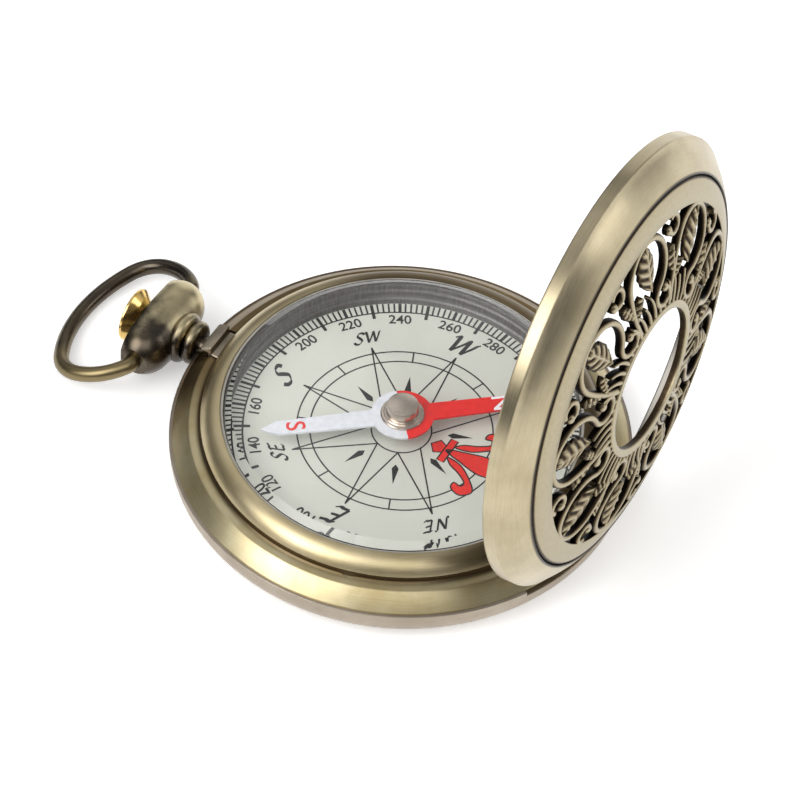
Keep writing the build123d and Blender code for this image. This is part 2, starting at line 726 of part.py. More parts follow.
plate = Pos(0, 0, lid_z) * plate
parts["pierced_plate"] = plate.rotate(hinge_axis, open_angle)

# Bow: bent wire with its pins in the pendant, lying down to the table
path = [Line((bow_in_x, 0), (bow_out_x, 0))]
for bend_r, bend_angle in (
    (bow_root_r, bow_root_angle), (bow_side_r, bow_side_angle), (bow_corner_r, bow_corner_angle)
):
    path.append(JernArc(path[-1] @ 1, path[-1] % 1, bend_r, bend_angle))
top_angle = half_turn - bow_root_angle - bow_side_angle - bow_corner_angle
top_r = (path[-1] @ 1).X / sin(radians(top_angle))
path.append(JernArc(path[-1] @ 1, path[-1] % 1, top_r, top_angle))
half_path = Wire([piece.edge() for piece in path])
bow_path = Wire([*half_path.edges(), *mirror(half_path, about=Plane.YZ).edges()])
bow = sweep(Plane(origin=bow_path @ 0, z_dir=bow_path % 0) * Circle(wire_r), path=bow_path)
bow_reach = (path[-1] @ 1).Y
bow_tilt = degrees(asin((parting_z - wire_r - bow_rest_gap) / bow_reach))
parts["bow"] = Pos(0, head_y, parting_z) * Rot(-bow_tilt, 0, 0) * bow

os.makedirs("parts", exist_ok=True)
for name, shape in parts.items():
    export_step(shape, os.path.join("parts", name + ".step"))
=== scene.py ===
import json
import math

import bmesh
import bpy
from mathutils import Matrix, Vector


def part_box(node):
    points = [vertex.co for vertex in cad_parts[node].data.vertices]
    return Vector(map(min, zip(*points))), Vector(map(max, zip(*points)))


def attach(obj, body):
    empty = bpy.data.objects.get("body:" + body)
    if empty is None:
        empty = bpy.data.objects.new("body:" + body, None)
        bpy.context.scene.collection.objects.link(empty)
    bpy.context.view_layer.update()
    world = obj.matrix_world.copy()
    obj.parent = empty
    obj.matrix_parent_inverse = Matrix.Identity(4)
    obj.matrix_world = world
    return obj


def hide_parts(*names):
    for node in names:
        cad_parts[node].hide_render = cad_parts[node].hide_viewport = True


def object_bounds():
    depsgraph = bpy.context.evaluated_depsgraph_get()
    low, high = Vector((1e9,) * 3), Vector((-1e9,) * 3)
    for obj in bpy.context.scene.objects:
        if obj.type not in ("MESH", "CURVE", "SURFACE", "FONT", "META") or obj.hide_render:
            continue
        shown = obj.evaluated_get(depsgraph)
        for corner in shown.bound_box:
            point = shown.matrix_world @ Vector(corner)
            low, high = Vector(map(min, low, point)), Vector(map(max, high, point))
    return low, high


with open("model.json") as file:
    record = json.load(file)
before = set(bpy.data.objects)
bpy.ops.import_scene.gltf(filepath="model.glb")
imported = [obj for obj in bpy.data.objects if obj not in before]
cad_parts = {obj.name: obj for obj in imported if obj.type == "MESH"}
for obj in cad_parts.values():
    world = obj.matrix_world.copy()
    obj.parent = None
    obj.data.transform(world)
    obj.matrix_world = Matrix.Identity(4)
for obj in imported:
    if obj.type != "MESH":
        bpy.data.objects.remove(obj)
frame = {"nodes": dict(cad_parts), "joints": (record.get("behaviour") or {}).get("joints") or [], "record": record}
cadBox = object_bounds()
print("frame loaded:", len(frame["nodes"]), "nodes")

mm = 0.001  # shapes below are drawn in millimetres
toMetres = Matrix.Scale(mm, 4)
asDrawn = Matrix.Identity(4)
plainWhite = (1, 1, 1, 1)
nodeBody = {n: b for b, names in frame["record"]["behaviour"]["bodies"].items() for n in names}
joints = {j["name"]: j for j in frame["joints"]}
smoothing = {  # angles in degrees: edges that turn by more stay crisp
    "skin": 32.0, "drawn": 40.0, "text": 30.0, "plate": 50.0,
    "skinMerge": 2e-7, "drawnMerge": 1e-5, "fineMerge": 1e-6, "bevelMerge": 1e-7,
}

# The lid is drawn shut, then swung up about its hinge
lidHinge = Vector(joints["lid_hinge"]["pos_m"])
lidSwing = math.radians(-joints["lid_hinge"]["range_deg"][0])
lidTurn = Matrix.Rotation(lidSwing, 4, "X")
lidPlace = Matrix.Translation(lidHinge) @ lidTurn @ Matrix.Translation(-lidHinge)


def srgb(red, green, blue):
    def linear(c):
        c /= 255
        return c / 12.92 if c <= 0.04045 else ((c + 0.055) / 1.055) ** 2.4

    return (linear(red), linear(green), linear(blue), 1)


def grey(level):
    return (level, level, level, 1)


def polar(radius, degrees):
    a = math.radians(degrees)
    return Vector((radius * math.cos(a), radius * math.sin(a)))


def dialWay(degrees):
    return -90 - degrees  # dial degrees grow clockwise from the hinge side


# Shapes are lists of points, faces and a wear value, which on the plate also carries painted shade, until meshOf
# makes them a mesh

def newShape():
    return {"verts": [], "faces": [], "wearAndShade": []}


def addVert(shape, x, y, z, wearAndShade=1.0):
    shape["verts"].append((x, y, z))
    shape["wearAndShade"].append(wearAndShade)
    return len(shape["verts"]) - 1


def addRings(shape, rings, closedPath=False):
    count = len(rings[0])
    last = len(rings) if closedPath else len(rings) - 1
    for i in range(last):
        here, there = rings[i], rings[(i + 1) % len(rings)]
        for k in range(count):
            n = (k + 1) % count
            shape["faces"].append((here[k], here[n], there[n], there[k]))
    if not closedPath:
        shape["faces"].append(tuple(reversed(rings[0])))
        shape["faces"].append(tuple(rings[-1]))


def addTurned(shape, profile, segments):
    rings = []
    for i in range(segments):
        a = 2 * math.pi * i / segments
        turned = [(r * math.cos(a), r * math.sin(a), z, *wearAndShade) for r, z, *wearAndShade in profile]
        rings.append([addVert(shape, *p) for p in turned])
    addRings(shape, rings, closedPath=True)


def sideSteps(path, closed=False):
    sides = []
    for i, p in enumerate(path):
        before = path[i - 1] if i or closed else p
        after = path[(i + 1) % len(path)] if closed or i + 1 < len(path) else p
        run = (Vector(after) - Vector(before)).normalized()
        sides.append(Vector((-run.y, run.x)))
    return sides


def arcPath(centre, radius, start, turn, step=9.0):
    count = max(3, round(abs(turn) / step))
    return [Vector(centre) + polar(radius, start + turn * i / count) for i in range(count + 1)]


def curveThrough(points, steps, closed=False):
    pts = [Vector(p) for p in points]
    path = []
    spans = len(pts) if closed else len(pts) - 1
    for i in range(spans):
        p1, p2 = pts[i], pts[(i + 1) % len(pts)]
        p0 = pts[i - 1] if i or closed else p1
        p3 = pts[(i + 2) % len(pts)] if closed or i + 2 < len(pts) else p2
        for s in range(steps):
            t = s / steps
            path.append(0.5 * (
                2 * p1 + (p2 - p0) * t + (2 * p0 - 5 * p1 + 4 * p2 - p3) * t * t
                + (3 * p1 - p0 - 3 * p2 + p3) * t * t * t
            ))
    if not closed:
        path.append(pts[-1])
    return path


def smoothed(mesh, sharp):
    mesh.polygons.foreach_set("use_smooth", [True] * len(mesh.polygons))
    mesh.set_sharp_from_angle(angle=math.radians(sharp))


def tidyMesh(mesh, sharp, merge):
    work = bmesh.new()
    work.from_mesh(mesh)
    bmesh.ops.remove_doubles(work, verts=work.verts, dist=merge)
    bmesh.ops.dissolve_degenerate(work, edges=work.edges, dist=merge)
    bmesh.ops.recalc_face_normals(work, faces=work.faces)
    work.to_mesh(mesh)
    work.free()
    smoothed(mesh, sharp)


def meshOf(name, shape, place=toMetres, sharp=smoothing["drawn"]):
    mesh = bpy.data.meshes.new(name)
    mesh.from_pydata(shape["verts"], [], shape["faces"])
    wearAndShade = mesh.attributes.new("wearAndShade", "FLOAT", "POINT")
    wearAndShade.data.foreach_set("value", shape["wearAndShade"])
    tidyMesh(mesh, sharp, smoothing["drawnMerge"])
    mesh.transform(place)
    return mesh


def brushMap(mesh, place=asDrawn, roundScale=20):
    # u runs across the turning marks and v along them
    back = place.inverted()
    layer = mesh.uv_layers.new(name="brush")
    for face in mesh.polygons:
        middle = back @ face.center
        around = math.atan2(middle.y, middle.x)
        for i in face.loop_indices:
            p = back @ mesh.vertices[mesh.loops[i].vertex_index].co
            off = math.atan2(p.y, p.x) - around
            off = math.atan2(math.sin(off), math.cos(off))
            layer.data[i].uv = ((p.xy.length - p.z) / mm, (around + off) * roundScale)


def markInside(mesh, place, down=-0.5, inward=-0.3):
    # 1 on faces that look down or towards the lid's axis: these get painted shade
    back = place.inverted()
    inside = mesh.attributes.new("inside", "FLOAT", "FACE")
    for face in mesh.polygons:
        middle, normal = back @ face.center, back.to_3x3() @ face.normal
        looksIn = normal.xy.dot(middle.xy.normalized()) < inward
        inside.data[face.index].value = float(normal.z < down or looksIn)


def placed(name, data):
    obj = bpy.data.objects.new(name, data)
    bpy.context.scene.collection.objects.link(obj)
    return obj


def show(name, mesh, material, body, slotName, *stoodFor):
    obj = placed(name, mesh)
    mesh.materials.clear()
    mesh.materials.append(material)
    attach(obj, body)
    if stoodFor:
        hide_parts(*stoodFor)


def skin(node, material, slotName, lidPiece=False, reshape=None):
    mesh = frame["nodes"][node].data.copy()
    if "custom_normal" in mesh.attributes:
        mesh.attributes.remove(mesh.attributes["custom_normal"])
    for layer in list(mesh.uv_layers):
        mesh.uv_layers.remove(layer)
    work = bmesh.new()
    work.from_mesh(mesh)
    bmesh.ops.remove_doubles(work, verts=work.verts, dist=smoothing["skinMerge"])
    if reshape:
        reshape(work)
    work.to_mesh(mesh)
    work.free()
    smoothed(mesh, smoothing["skin"])
    brushMap(mesh, lidPlace if lidPiece else asDrawn)
    if lidPiece:
        markInside(mesh, lidPlace)
    show(node + "Skin", mesh, material, nodeBody[node], slotName, node)


def bakeNodes(obj):
    graph = bpy.context.evaluated_depsgraph_get()
    mesh = bpy.data.meshes.new_from_object(obj.evaluated_get(graph))
    bpy.data.objects.remove(obj)
    return mesh


def joined(name, meshes):
    work = bmesh.new()
    for mesh in meshes:
        work.from_mesh(mesh)
    whole = bpy.data.meshes.new(name)
    work.to_mesh(whole)
    work.free()
    return whole


def textMesh(body, size, depth, bold, spot, height, turn):
    curve = bpy.data.curves.new("mark", "FONT")
    curve.body, curve.size, curve.offset = body, size, bold
    curve.align_x, curve.align_y = "CENTER", "CENTER"
    curve.extrude, curve.resolution_u = depth / 2, 5
    obj = placed("mark", curve)
    bpy.context.view_layer.update()
    mesh = bakeNodes(obj)
    tidyMesh(mesh, smoothing["text"], smoothing["fineMerge"])
    turned = Matrix.Rotation(math.radians(turn), 4, "Z")
    mesh.transform(toMetres @ Matrix.Translation((*spot, height)) @ turned)
    return mesh


# Node helpers for rings of repeats and for finishes

def feed(tree, socket, value):
    # an output is linked to the socket, anything else is set on it
    if isinstance(value, bpy.types.NodeSocket):
        tree.links.new(value, socket)
    else:
        socket.default_value = value


def addNode(tree, kind, inputs=None, **settings):
    part = tree.nodes.new(kind)
    for setting, value in settings.items():
        setattr(part, setting, value)
    for socket, value in (inputs or {}).items():
        feed(tree, part.inputs[socket], value)
    return part.outputs


def mathNode(tree, operation, a, b=0.0):
    return addNode(tree, "ShaderNodeMath", {0: a, 1: b}, operation=operation)[0]


def plus(tree, a, b):
    return mathNode(tree, "ADD", a, b)


def minus(tree, a, b):
    return mathNode(tree, "SUBTRACT", a, b)


def times(tree, a, b):
    return mathNode(tree, "MULTIPLY", a, b)


def split(tree, spot):
    return addNode(tree, "ShaderNodeSeparateXYZ", {0: spot})


def combine(tree, x=0.0, y=0.0, z=0.0):
    return addNode(tree, "ShaderNodeCombineXYZ", {0: x, 1: y, 2: z})[0]


def sumSquares(tree, x, y):
    return plus(tree, times(tree, x, x), times(tree, y, y))


def ringTree(name, material, domed):
    tree = bpy.data.node_groups.new(name, "GeometryNodeTree")
    face = tree.interface
    face.new_socket("Geometry", in_out="INPUT", socket_type="NodeSocketGeometry")
    sizes = [("Count", "NodeSocketInt"), ("Start", "NodeSocketFloat")]
    if domed:
        sizes += [(size, "NodeSocketFloat") for size in ("Ring radius", "Ring height", "Dome rate")]
    sockets = {}
    for size, kind in sizes:
        sockets[size] = face.new_socket(size, in_out="INPUT", socket_type=kind).identifier
    face.new_socket("Geometry", in_out="OUTPUT", socket_type="NodeSocketGeometry")
    asked = addNode(tree, "NodeGroupInput")
    points = addNode(tree, "GeometryNodePoints", {"Count": asked["Count"]})[0]
    step = mathNode(tree, "DIVIDE", 2 * math.pi, asked["Count"])
    turned = times(tree, step, addNode(tree, "GeometryNodeInputIndex")[0])
    turn = combine(tree, z=plus(tree, asked["Start"], turned))
    spin = addNode(tree, "FunctionNodeEulerToRotation", {0: turn})[0]
    copying = {"Points": points, "Instance": asked["Geometry"], "Rotation": spin}
    copies = addNode(tree, "GeometryNodeInstanceOnPoints", copying)[0]
    result = addNode(tree, "GeometryNodeRealizeInstances", {0: copies})[0]
    if domed:  # lift each point onto the dome: height falls with the square of the radius
        spot = split(tree, addNode(tree, "GeometryNodeInputPosition")[0])
        edge = times(tree, asked["Ring radius"], asked["Ring radius"])
        fall = minus(tree, edge, sumSquares(tree, spot["X"], spot["Y"]))
        rise = plus(tree, times(tree, fall, asked["Dome rate"]), asked["Ring height"])
        moving = {"Geometry": result, "Offset": combine(tree, z=rise)}
        result = addNode(tree, "GeometryNodeSetPosition", moving)[0]
    coated = addNode(tree, "GeometryNodeSetMaterial", {"Geometry": result, "Material": material})[0]
    addNode(tree, "NodeGroupOutput", {0: coated})
    return tree, sockets


def ringOf(name, item, material, **sizes):
    tree, sockets = ringTree(name, material, "Dome rate" in sizes)
    obj = placed(name, item)
    modifier = obj.modifiers.new(name, "NODES")
    modifier.node_group = tree
    for size, value in sizes.items():
        modifier[sockets[size]] = value
    return bakeNodes(obj)


def newFinish(name, metallic=0.0, roughness=0.4, **sockets):
    material = bpy.data.materials.new(name)
    material.use_nodes = True
    shader = material.node_tree.nodes["Principled BSDF"]
    shader.inputs["Metallic"].default_value = metallic
    shader.inputs["Roughness"].default_value = roughness
    for socket, value in sockets.items():
        shader.inputs[socket.replace("_", " ")].default_value = value
    return material, material.node_tree, shader


def objectPoint(tree, onLid=False):
    spot = addNode(tree, "ShaderNodeTexCoord")["Object"]
    if not onLid:
        return spot
    shift = lidHinge - Matrix.Rotation(-lidSwing, 3, "X") @ lidHinge  # back to the lid's shut place
    shut = {"Vector": spot, "Rotation": (-lidSwing, 0, 0), "Location": shift}
    return addNode(tree, "ShaderNodeMapping", shut)["Vector"]


def attribute(tree, name):
    return addNode(tree, "ShaderNodeAttribute", attribute_name=name)["Fac"]


def noise(tree, spot, grain, detail=3.0, rough=0.5):
    # grain is the size of one speck, in metres
    inputs = {"Vector": spot, "Scale": 1 / grain, "Detail": detail, "Roughness": rough}
    return addNode(tree, "ShaderNodeTexNoise", inputs)["Fac"]


def ragged(tree, value, reach):
    # a noise turned into a wander to both sides of nothing
    return times(tree, minus(tree, value, 0.5), reach)


def ramp(tree, value, *stops):
    part = tree.nodes.new("ShaderNodeValToRGB")
    while len(part.color_ramp.elements) < len(stops):
        part.color_ramp.elements.new(0.5)
    for element, (place, colour) in zip(part.color_ramp.elements, stops):
        element.position, element.color = place, colour
    tree.links.new(value, part.inputs["Fac"])
    return part.outputs["Color"]


def mixed(tree, amount, first, second, blend="MIX"):
    inputs = {0: amount, 6: first, 7: second}  # factor and the two colours
    return addNode(tree, "ShaderNodeMix", inputs, data_type="RGBA", blend_type=blend)[2]


def spread(tree, value, low, high):
    return addNode(tree, "ShaderNodeMapRange", {"Value": value, "To Min": low, "To Max": high})["Result"]


def fade(tree, value, start, end, full=1.0):
    # smooth rise from 0 at the start to full at the end
    inputs = {"Value": value, "From Min": start, "From Max": end, "To Max": full}
    return addNode(tree, "ShaderNodeMapRange", inputs, interpolation_type="SMOOTHSTEP")["Result"]


def along(tree, spot, way):
    return addNode(tree, "ShaderNodeVectorMath", {0: spot, 1: way}, operation="DOT_PRODUCT")["Value"]


def turnParts(tree, spot):
    x, y, z = split(tree, spot)
    return mathNode(tree, "SQRT", sumSquares(tree, x, y)), mathNode(tree, "ARCTAN2", y, x), z


def soot(tree, spot, tone, black, fadedOut, dark):
    # dark patina and painted shade in a groove: full at one radius, gone at the other (mm)
    return mixed(tree, fade(tree, turnParts(tree, spot)[0], black * mm, fadedOut * mm), dark, tone)


def tarnish(tree, spot, tone, way, fadedOut, full, dark):
    # one side darker: a brown tone that grows along a direction, from one distance to the other (mm); painted
    # shade where used on the band and back
    grown = fade(tree, along(tree, spot, way), fadedOut * mm, full * mm)
    return mixed(tree, grown, tone, mixed(tree, 1.0, tone, dark, "MULTIPLY"))


def coat(tree, shader, colour, rough=None):
    feed(tree, shader.inputs["Base Color"], colour)
    if rough is not None:
        feed(tree, shader.inputs["Roughness"], rough)


def addBump(tree, shader, height, depth, strength, edge=0.0):
    inputs = {"Height": height, "Strength": strength, "Distance": depth}
    if edge:  # rounds the corners that the tool marks run over
        inputs["Normal"] = addNode(tree, "ShaderNodeBevel", {"Radius": edge}, samples=6)[0]
    feed(tree, shader.inputs["Normal"], addNode(tree, "ShaderNodeBump", inputs)[0])


def swapFor(tree, rays, usual, other, output):
    # the usual shader, but the other one for the rays named
    asked = addNode(tree, "ShaderNodeLightPath")[rays]
    both = addNode(tree, "ShaderNodeMixShader", {0: asked, 1: usual, 2: other})[0]
    feed(tree, tree.nodes[output].inputs["Surface"], both)


# Finishes: one dictionary beside each, sizes in metres

# The inside grey is painted shade for the lid's faces that look down or inwards
brush = {
    "line": 0.00007, "round": 0.0006, "cloud": 0.006, "streak": (0.86, 0.85, 0.84, 1), "uneven": 0.07,
    "depth": 0.00001, "anisotropy": 0.6, "scratch": 0.25, "inside": srgb(122, 118, 112),
}


def brushedBronze(name, light, dark, roughness, onLid=False, shadedGroove=None, darkSide=None, edge=0.0, **changes):
    look = {**brush, **changes}
    material, tree, shader = newFinish(name, 1.0, roughness, Anisotropic=look["anisotropy"])
    spot = objectPoint(tree, onLid)
    radius, around, z = turnParts(tree, spot)
    turning = combine(tree, radius, z, times(tree, around, look["round"]))
    lines = noise(tree, turning, look["line"], 2.0)
    tone = ramp(tree, noise(tree, spot, look["cloud"], 4.0, 0.6), (0.3, dark), (0.7, light))
    streak = ramp(tree, lines, (0.3, look["streak"]), (0.7, plainWhite))
    tone = mixed(tree, 1.0, tone, streak, "MULTIPLY")
    # Darker towards one side: painted shade on the band and back
    if darkSide:
        tone = tarnish(tree, spot, tone, *darkSide)
    # Painted shade in a groove, over its patina
    if shadedGroove:
        tone = soot(tree, spot, tone, *shadedGroove)
    # Painted shade: grey on the lid's faces that look down or inwards
    if onLid:
        tone = mixed(tree, attribute(tree, "inside"), tone, look["inside"])
    coat(tree, shader, tone, spread(tree, lines, roughness - look["uneven"], roughness + look["uneven"]))
    grainWay = addNode(tree, "ShaderNodeTangent", direction_type="UV_MAP", uv_map="brush")[0]
    feed(tree, shader.inputs["Tangent"], grainWay)
    addBump(tree, shader, lines, look["depth"], look["scratch"], edge)
    return material


cast = {"cloud": 0.003, "fine": 0.0006, "depth": 0.00001, "pits": 0.3, "smoother": 0.06, "rougher": 0.08}


def castMetal(name, light, dark, roughness, metallic=1.0, edge=0.0):
    material, tree, shader = newFinish(name, metallic, roughness)
    spot = objectPoint(tree)
    cloud = noise(tree, spot, cast["cloud"], 4.0, 0.6)
    fine = noise(tree, spot, cast["fine"])
    rough = spread(tree, fine, roughness - cast["smoother"], roughness + cast["rougher"])
    coat(tree, shader, ramp(tree, cloud, (0.32, dark), (0.68, light)), rough)
    addBump(tree, shader, fine, cast["depth"], cast["pits"], edge)
    return material


patina = {
    "dark": srgb(72, 67, 62), "brown": srgb(98, 88, 74), "cloud": 0.0035, "fine": 0.0005, "wander": 0.006,
    "roughness": 0.26, "smoothest": 0.18, "roughest": 0.34, "depth": 0.00001, "pits": 0.25,
}


def gunBronze(name, lean, darkBelow, rubbedLitAbove, brass):
    # dark patina rubbed back to brass higher up, part wear and part painted highlight; the lean along x makes one
    # side lighter, a painted highlight
    material, tree, shader = newFinish(name, 1.0, patina["roughness"])
    spot = objectPoint(tree)
    x, y, z = split(tree, spot)
    cloud = noise(tree, spot, patina["cloud"], 4.0, 0.6)
    fine = noise(tree, spot, patina["fine"])
    level = plus(tree, z, times(tree, x, lean))
    level = plus(tree, level, ragged(tree, cloud, patina["wander"]))
    rubbedAndLit = fade(tree, level, darkBelow * mm, rubbedLitAbove * mm)
    dark = ramp(tree, cloud, (0.3, patina["dark"]), (0.7, patina["brown"]))
    grain = plus(tree, fine, rubbedAndLit)
    rough = spread(tree, grain, patina["smoothest"], patina["roughest"])
    coat(tree, shader, mixed(tree, rubbedAndLit, dark, brass), rough)
    addBump(tree, shader, fine, patina["depth"], patina["pits"])
    return material


rehaut = {
    "light": srgb(116, 113, 111), "dark": srgb(80, 77, 74), "metallic": 0.55, "roughness": 0.36,
    "uneven": 0.08, "around": 0.018, "upright": 0.04, "mark": 0.00022, "depth": 0.00001, "pits": 0.3,
}


def streakedRing():
    # upright tool marks round the inside of the ring
    roughness, uneven = rehaut["roughness"], rehaut["uneven"]
    material, tree, shader = newFinish("rehautPlastic", rehaut["metallic"], roughness)
    radius, around, z = turnParts(tree, objectPoint(tree))
    around = times(tree, around, rehaut["around"])
    z = times(tree, z, rehaut["upright"])
    marks = noise(tree, combine(tree, around, z, radius), rehaut["mark"], 3.0, 0.6)
    tone = ramp(tree, marks, (0.28, rehaut["dark"]), (0.72, rehaut["light"]))
    coat(tree, shader, tone, spread(tree, marks, roughness - uneven, roughness + uneven))
    addBump(tree, shader, marks, rehaut["depth"], rehaut["pits"])
    return material


filigree = {
    "tones": (  # from the blackened ground to the rubbed tops; low values also stand for painted shade
        (0.12, srgb(14, 12, 10)), (0.42, srgb(64, 52, 38)), (0.7, srgb(138, 124, 98)),
        (0.95, srgb(174, 163, 135)),
    ),
    "fine": 0.0004, "wander": 0.18, "roughness": 0.34, "groundRough": 0.55, "topRough": 0.28,
    "depth": 0.000008, "pits": 0.2,
}


def filigreeBronze():
    material, tree, shader = newFinish("filigreeBronze", 1.0, filigree["roughness"])
    fine = noise(tree, objectPoint(tree, True), filigree["fine"], 4.0, 0.6)
    # The wear value also carries painted shade, set low on the window's wall and by the groove
    level = plus(tree, attribute(tree, "wearAndShade"), ragged(tree, fine, filigree["wander"]))
    rough = spread(tree, level, filigree["groundRough"], filigree["topRough"])
    coat(tree, shader, ramp(tree, level, *filigree["tones"]), rough)
    addBump(tree, shader, fine, filigree["depth"], filigree["pits"])
    return material


clear = {
    "tint": (0.985, 0.99, 0.985, 1), "index": 1.49, "roughness": 0.012, "smear": 0.004,
    "smeared": (0.004, 0.02),
}


def clearGlass():
    roughness, index = clear["roughness"], clear["index"]
    material, tree, shader = newFinish("crystalGlass", 0.0, roughness, Transmission_Weight=1.0, IOR=index)
    shader.inputs["Base Color"].default_value = clear["tint"]
    smear = noise(tree, objectPoint(tree), clear["smear"])
    feed(tree, shader.inputs["Roughness"], spread(tree, smear, *clear["smeared"]))
    seeThrough = addNode(tree, "ShaderNodeBsdfTransparent")[0]  # lets light reach the dial
    swapFor(tree, "Is Shadow Ray", shader.outputs[0], seeThrough, "Material Output")
    return material


printed = {"roughness": 0.42, "uneven": 0.06, "speck": 0.0003, "gloss": 0.25}


def printInk(name, light, dark):
    roughness, uneven = printed["roughness"], printed["uneven"]
    material, tree, shader = newFinish(name, 0.0, roughness, Specular_IOR_Level=printed["gloss"])
    speck = noise(tree, objectPoint(tree), printed["speck"])
    rough = spread(tree, speck, roughness - uneven, roughness + uneven)
    coat(tree, shader, ramp(tree, speck, (0.3, dark), (0.7, light)), rough)
    return material


paper = {
    "dark": srgb(196, 197, 187), "light": srgb(206, 207, 197), "fleck": (0.94, 0.94, 0.93, 1),
    "roughness": 0.5, "fibre": 0.00018, "cloud": 0.012, "depth": 0.000006, "nap": 0.25,
}


def dialCard():
    material, tree, shader = newFinish("dialCard", 0.0, paper["roughness"])
    spot = objectPoint(tree)
    fibre = noise(tree, spot, paper["fibre"], 4.0, 0.65)
    cloud = noise(tree, spot, paper["cloud"], 2.0)
    tone = ramp(tree, cloud, (0.25, paper["dark"]), (0.75, paper["light"]))
    flecks = ramp(tree, fibre, (0.25, paper["fleck"]), (0.6, plainWhite))
    coat(tree, shader, mixed(tree, 1.0, tone, flecks, "MULTIPLY"))
    addBump(tree, shader, fibre, paper["depth"], paper["nap"])
    return material


needle = {
    "way": 130.0, "top": 7.15, "southAt": 11.1, "northAt": 10.2, "letterSize": 2.75, "bold": 0.025,
    "ink": 0.02, "inkLift": 0.4, "roughness": 0.4, "gloss": 0.3, "edgeSpeck": 0.0005, "edgeWander": 0.0003,
    "whites": ((0.3, srgb(206, 208, 215)), (0.7, srgb(220, 222, 228))),
    "reds": ((0.3, srgb(212, 16, 10)), (0.7, srgb(228, 24, 16))),
    "speck": 0.0007, "depth": 0.00001, "pits": 0.2,
}


def needlePaint():
    gloss = needle["gloss"]
    material, tree, shader = newFinish("needlePaint", 0.0, needle["roughness"], Specular_IOR_Level=gloss)
    turn = {"Vector": objectPoint(tree), "Rotation": (0, 0, -math.radians(needle["way"]))}
    spot = addNode(tree, "ShaderNodeMapping", turn)[0]  # x runs along the needle, towards its white end
    edge = ragged(tree, noise(tree, spot, needle["edgeSpeck"]), needle["edgeWander"])
    white = mathNode(tree, "GREATER_THAN", plus(tree, split(tree, spot)["X"], edge), 0.0)
    speck = noise(tree, spot, needle["speck"])
    whites = ramp(tree, speck, *needle["whites"])
    reds = ramp(tree, speck, *needle["reds"])
    coat(tree, shader, mixed(tree, white, reds, whites))
    addBump(tree, shader, speck, needle["depth"], needle["pits"])
    return material


# Dark sides: direction, faded-out and full distances along it, tone. Shaded grooves: black and faded-out radii,
# tone
# Painted shade on the band: the cove darkened at the bezel's foot, and the far side darker
bandBronze = brushedBronze(
    "bandBronze", srgb(214, 204, 168), srgb(186, 168, 124), 0.34, edge=0.00008,
    shadedGroove=(20.6, 21.35, srgb(84, 68, 46)), darkSide=((0.7, 0.7, 0), 3.0, 13.0, (0.4, 0.34, 0.28, 1)),
)
# The bezel darker towards the lid's side
bezelBronze = brushedBronze(
    "bezelBronze", srgb(214, 200, 164), srgb(194, 178, 138), 0.33, edge=0.0001, scratch=0.12,
    darkSide=((0.755, -0.656, 0), -5.5, 4.5, (0.27, 0.24, 0.22, 1)),
)
# Painted shade: the back's far side darker
backBronze = brushedBronze(
    "backBronze", srgb(188, 177, 162), srgb(164, 151, 135), 0.36, edge=0.0002,
    darkSide=((0.7, 0.7, 0), 4.0, 14.0, (0.5, 0.43, 0.36, 1)),
)
# Painted shade in the lid rim's groove beside the plate
lidBronze = brushedBronze(
    "lidBronze", srgb(201, 189, 159), srgb(178, 165, 135), 0.33, onLid=True, edge=0.0003,
    shadedGroove=(20.5, 20.78, srgb(50, 43, 36)),
)
hubNickel = brushedBronze(
    "hubNickel", srgb(226, 214, 202), srgb(206, 192, 178), 0.24, anisotropy=0.3, line=0.00005, scratch=0.15,
)
plateBronze = filigreeBronze()
# Painted highlight: the pendant lighter towards +x and the bow towards -x, besides the rubbed brass
pendantBronze = gunBronze("pendantBronze", 0.55, 5.2, 7.9, srgb(206, 192, 154))
bowBronze = gunBronze("bowBronze", -0.3, 1.2, 6.0, srgb(136, 122, 90))
buttonGold = castMetal("buttonGold", srgb(252, 222, 150), srgb(238, 196, 112), 0.17, edge=0.0001)
pivotBrass = castMetal("pivotBrass", srgb(196, 178, 130), srgb(150, 132, 92), 0.3)
catchSteel = castMetal("catchSteel", srgb(180, 169, 150), srgb(148, 136, 118), 0.4)
springSteel = castMetal("springSteel", srgb(170, 172, 176), srgb(120, 122, 128), 0.3)
rubber = castMetal("gasketRubber", srgb(176, 172, 162), srgb(150, 146, 136), 0.5, metallic=0.0)
greyPlastic = streakedRing()
blackPlastic = castMetal("movementPlastic", srgb(30, 30, 32), srgb(18, 18, 20), 0.45, metallic=0.0)
jewelGlass = castMetal("needleJewel", srgb(180, 40, 60), srgb(130, 20, 40), 0.1, metallic=0.0)
glass = clearGlass()
card = dialCard()
blackInk = printInk("blackInk", srgb(18, 18, 19), srgb(9, 9, 10))
redInk = printInk("redInk", srgb(228, 40, 28), srgb(206, 26, 18))
whiteInk = printInk("whiteInk", srgb(240, 240, 242), srgb(226, 226, 230))
paint = needlePaint()
print("finishes mixed")

# Band: the plain slope of the solid gets a cove at the bezel's foot
shoulder = {
    "topR": 20.65, "topZ": 6.57, "drop": 2.27, "run": 2.75, "slack": 0.01, "past": 0.1,
    "near": (-0.03, 0.2), "longEdge": 0.2, "cuts": 3,
    "cove": (  # radius on the plain slope, then radius and height in the cove
        (20.65, 20.65, 6.57), (20.82, 20.68, 6.1), (21.1, 20.9, 5.96), (21.5, 21.4, 5.88),
        (21.8, 21.77, 5.82),
    ),
}


def onSlope(vert):
    radius, height = vert.co.xy.length / mm, vert.co.z / mm
    slope = shoulder["topZ"] - (radius - shoulder["topR"]) * shoulder["drop"] / shoulder["run"]
    low, high = shoulder["near"]
    inner, outer = shoulder["topR"] - shoulder["slack"], shoulder["cove"][-1][0] + shoulder["past"]
    return inner < radius < outer and low < height - slope < high


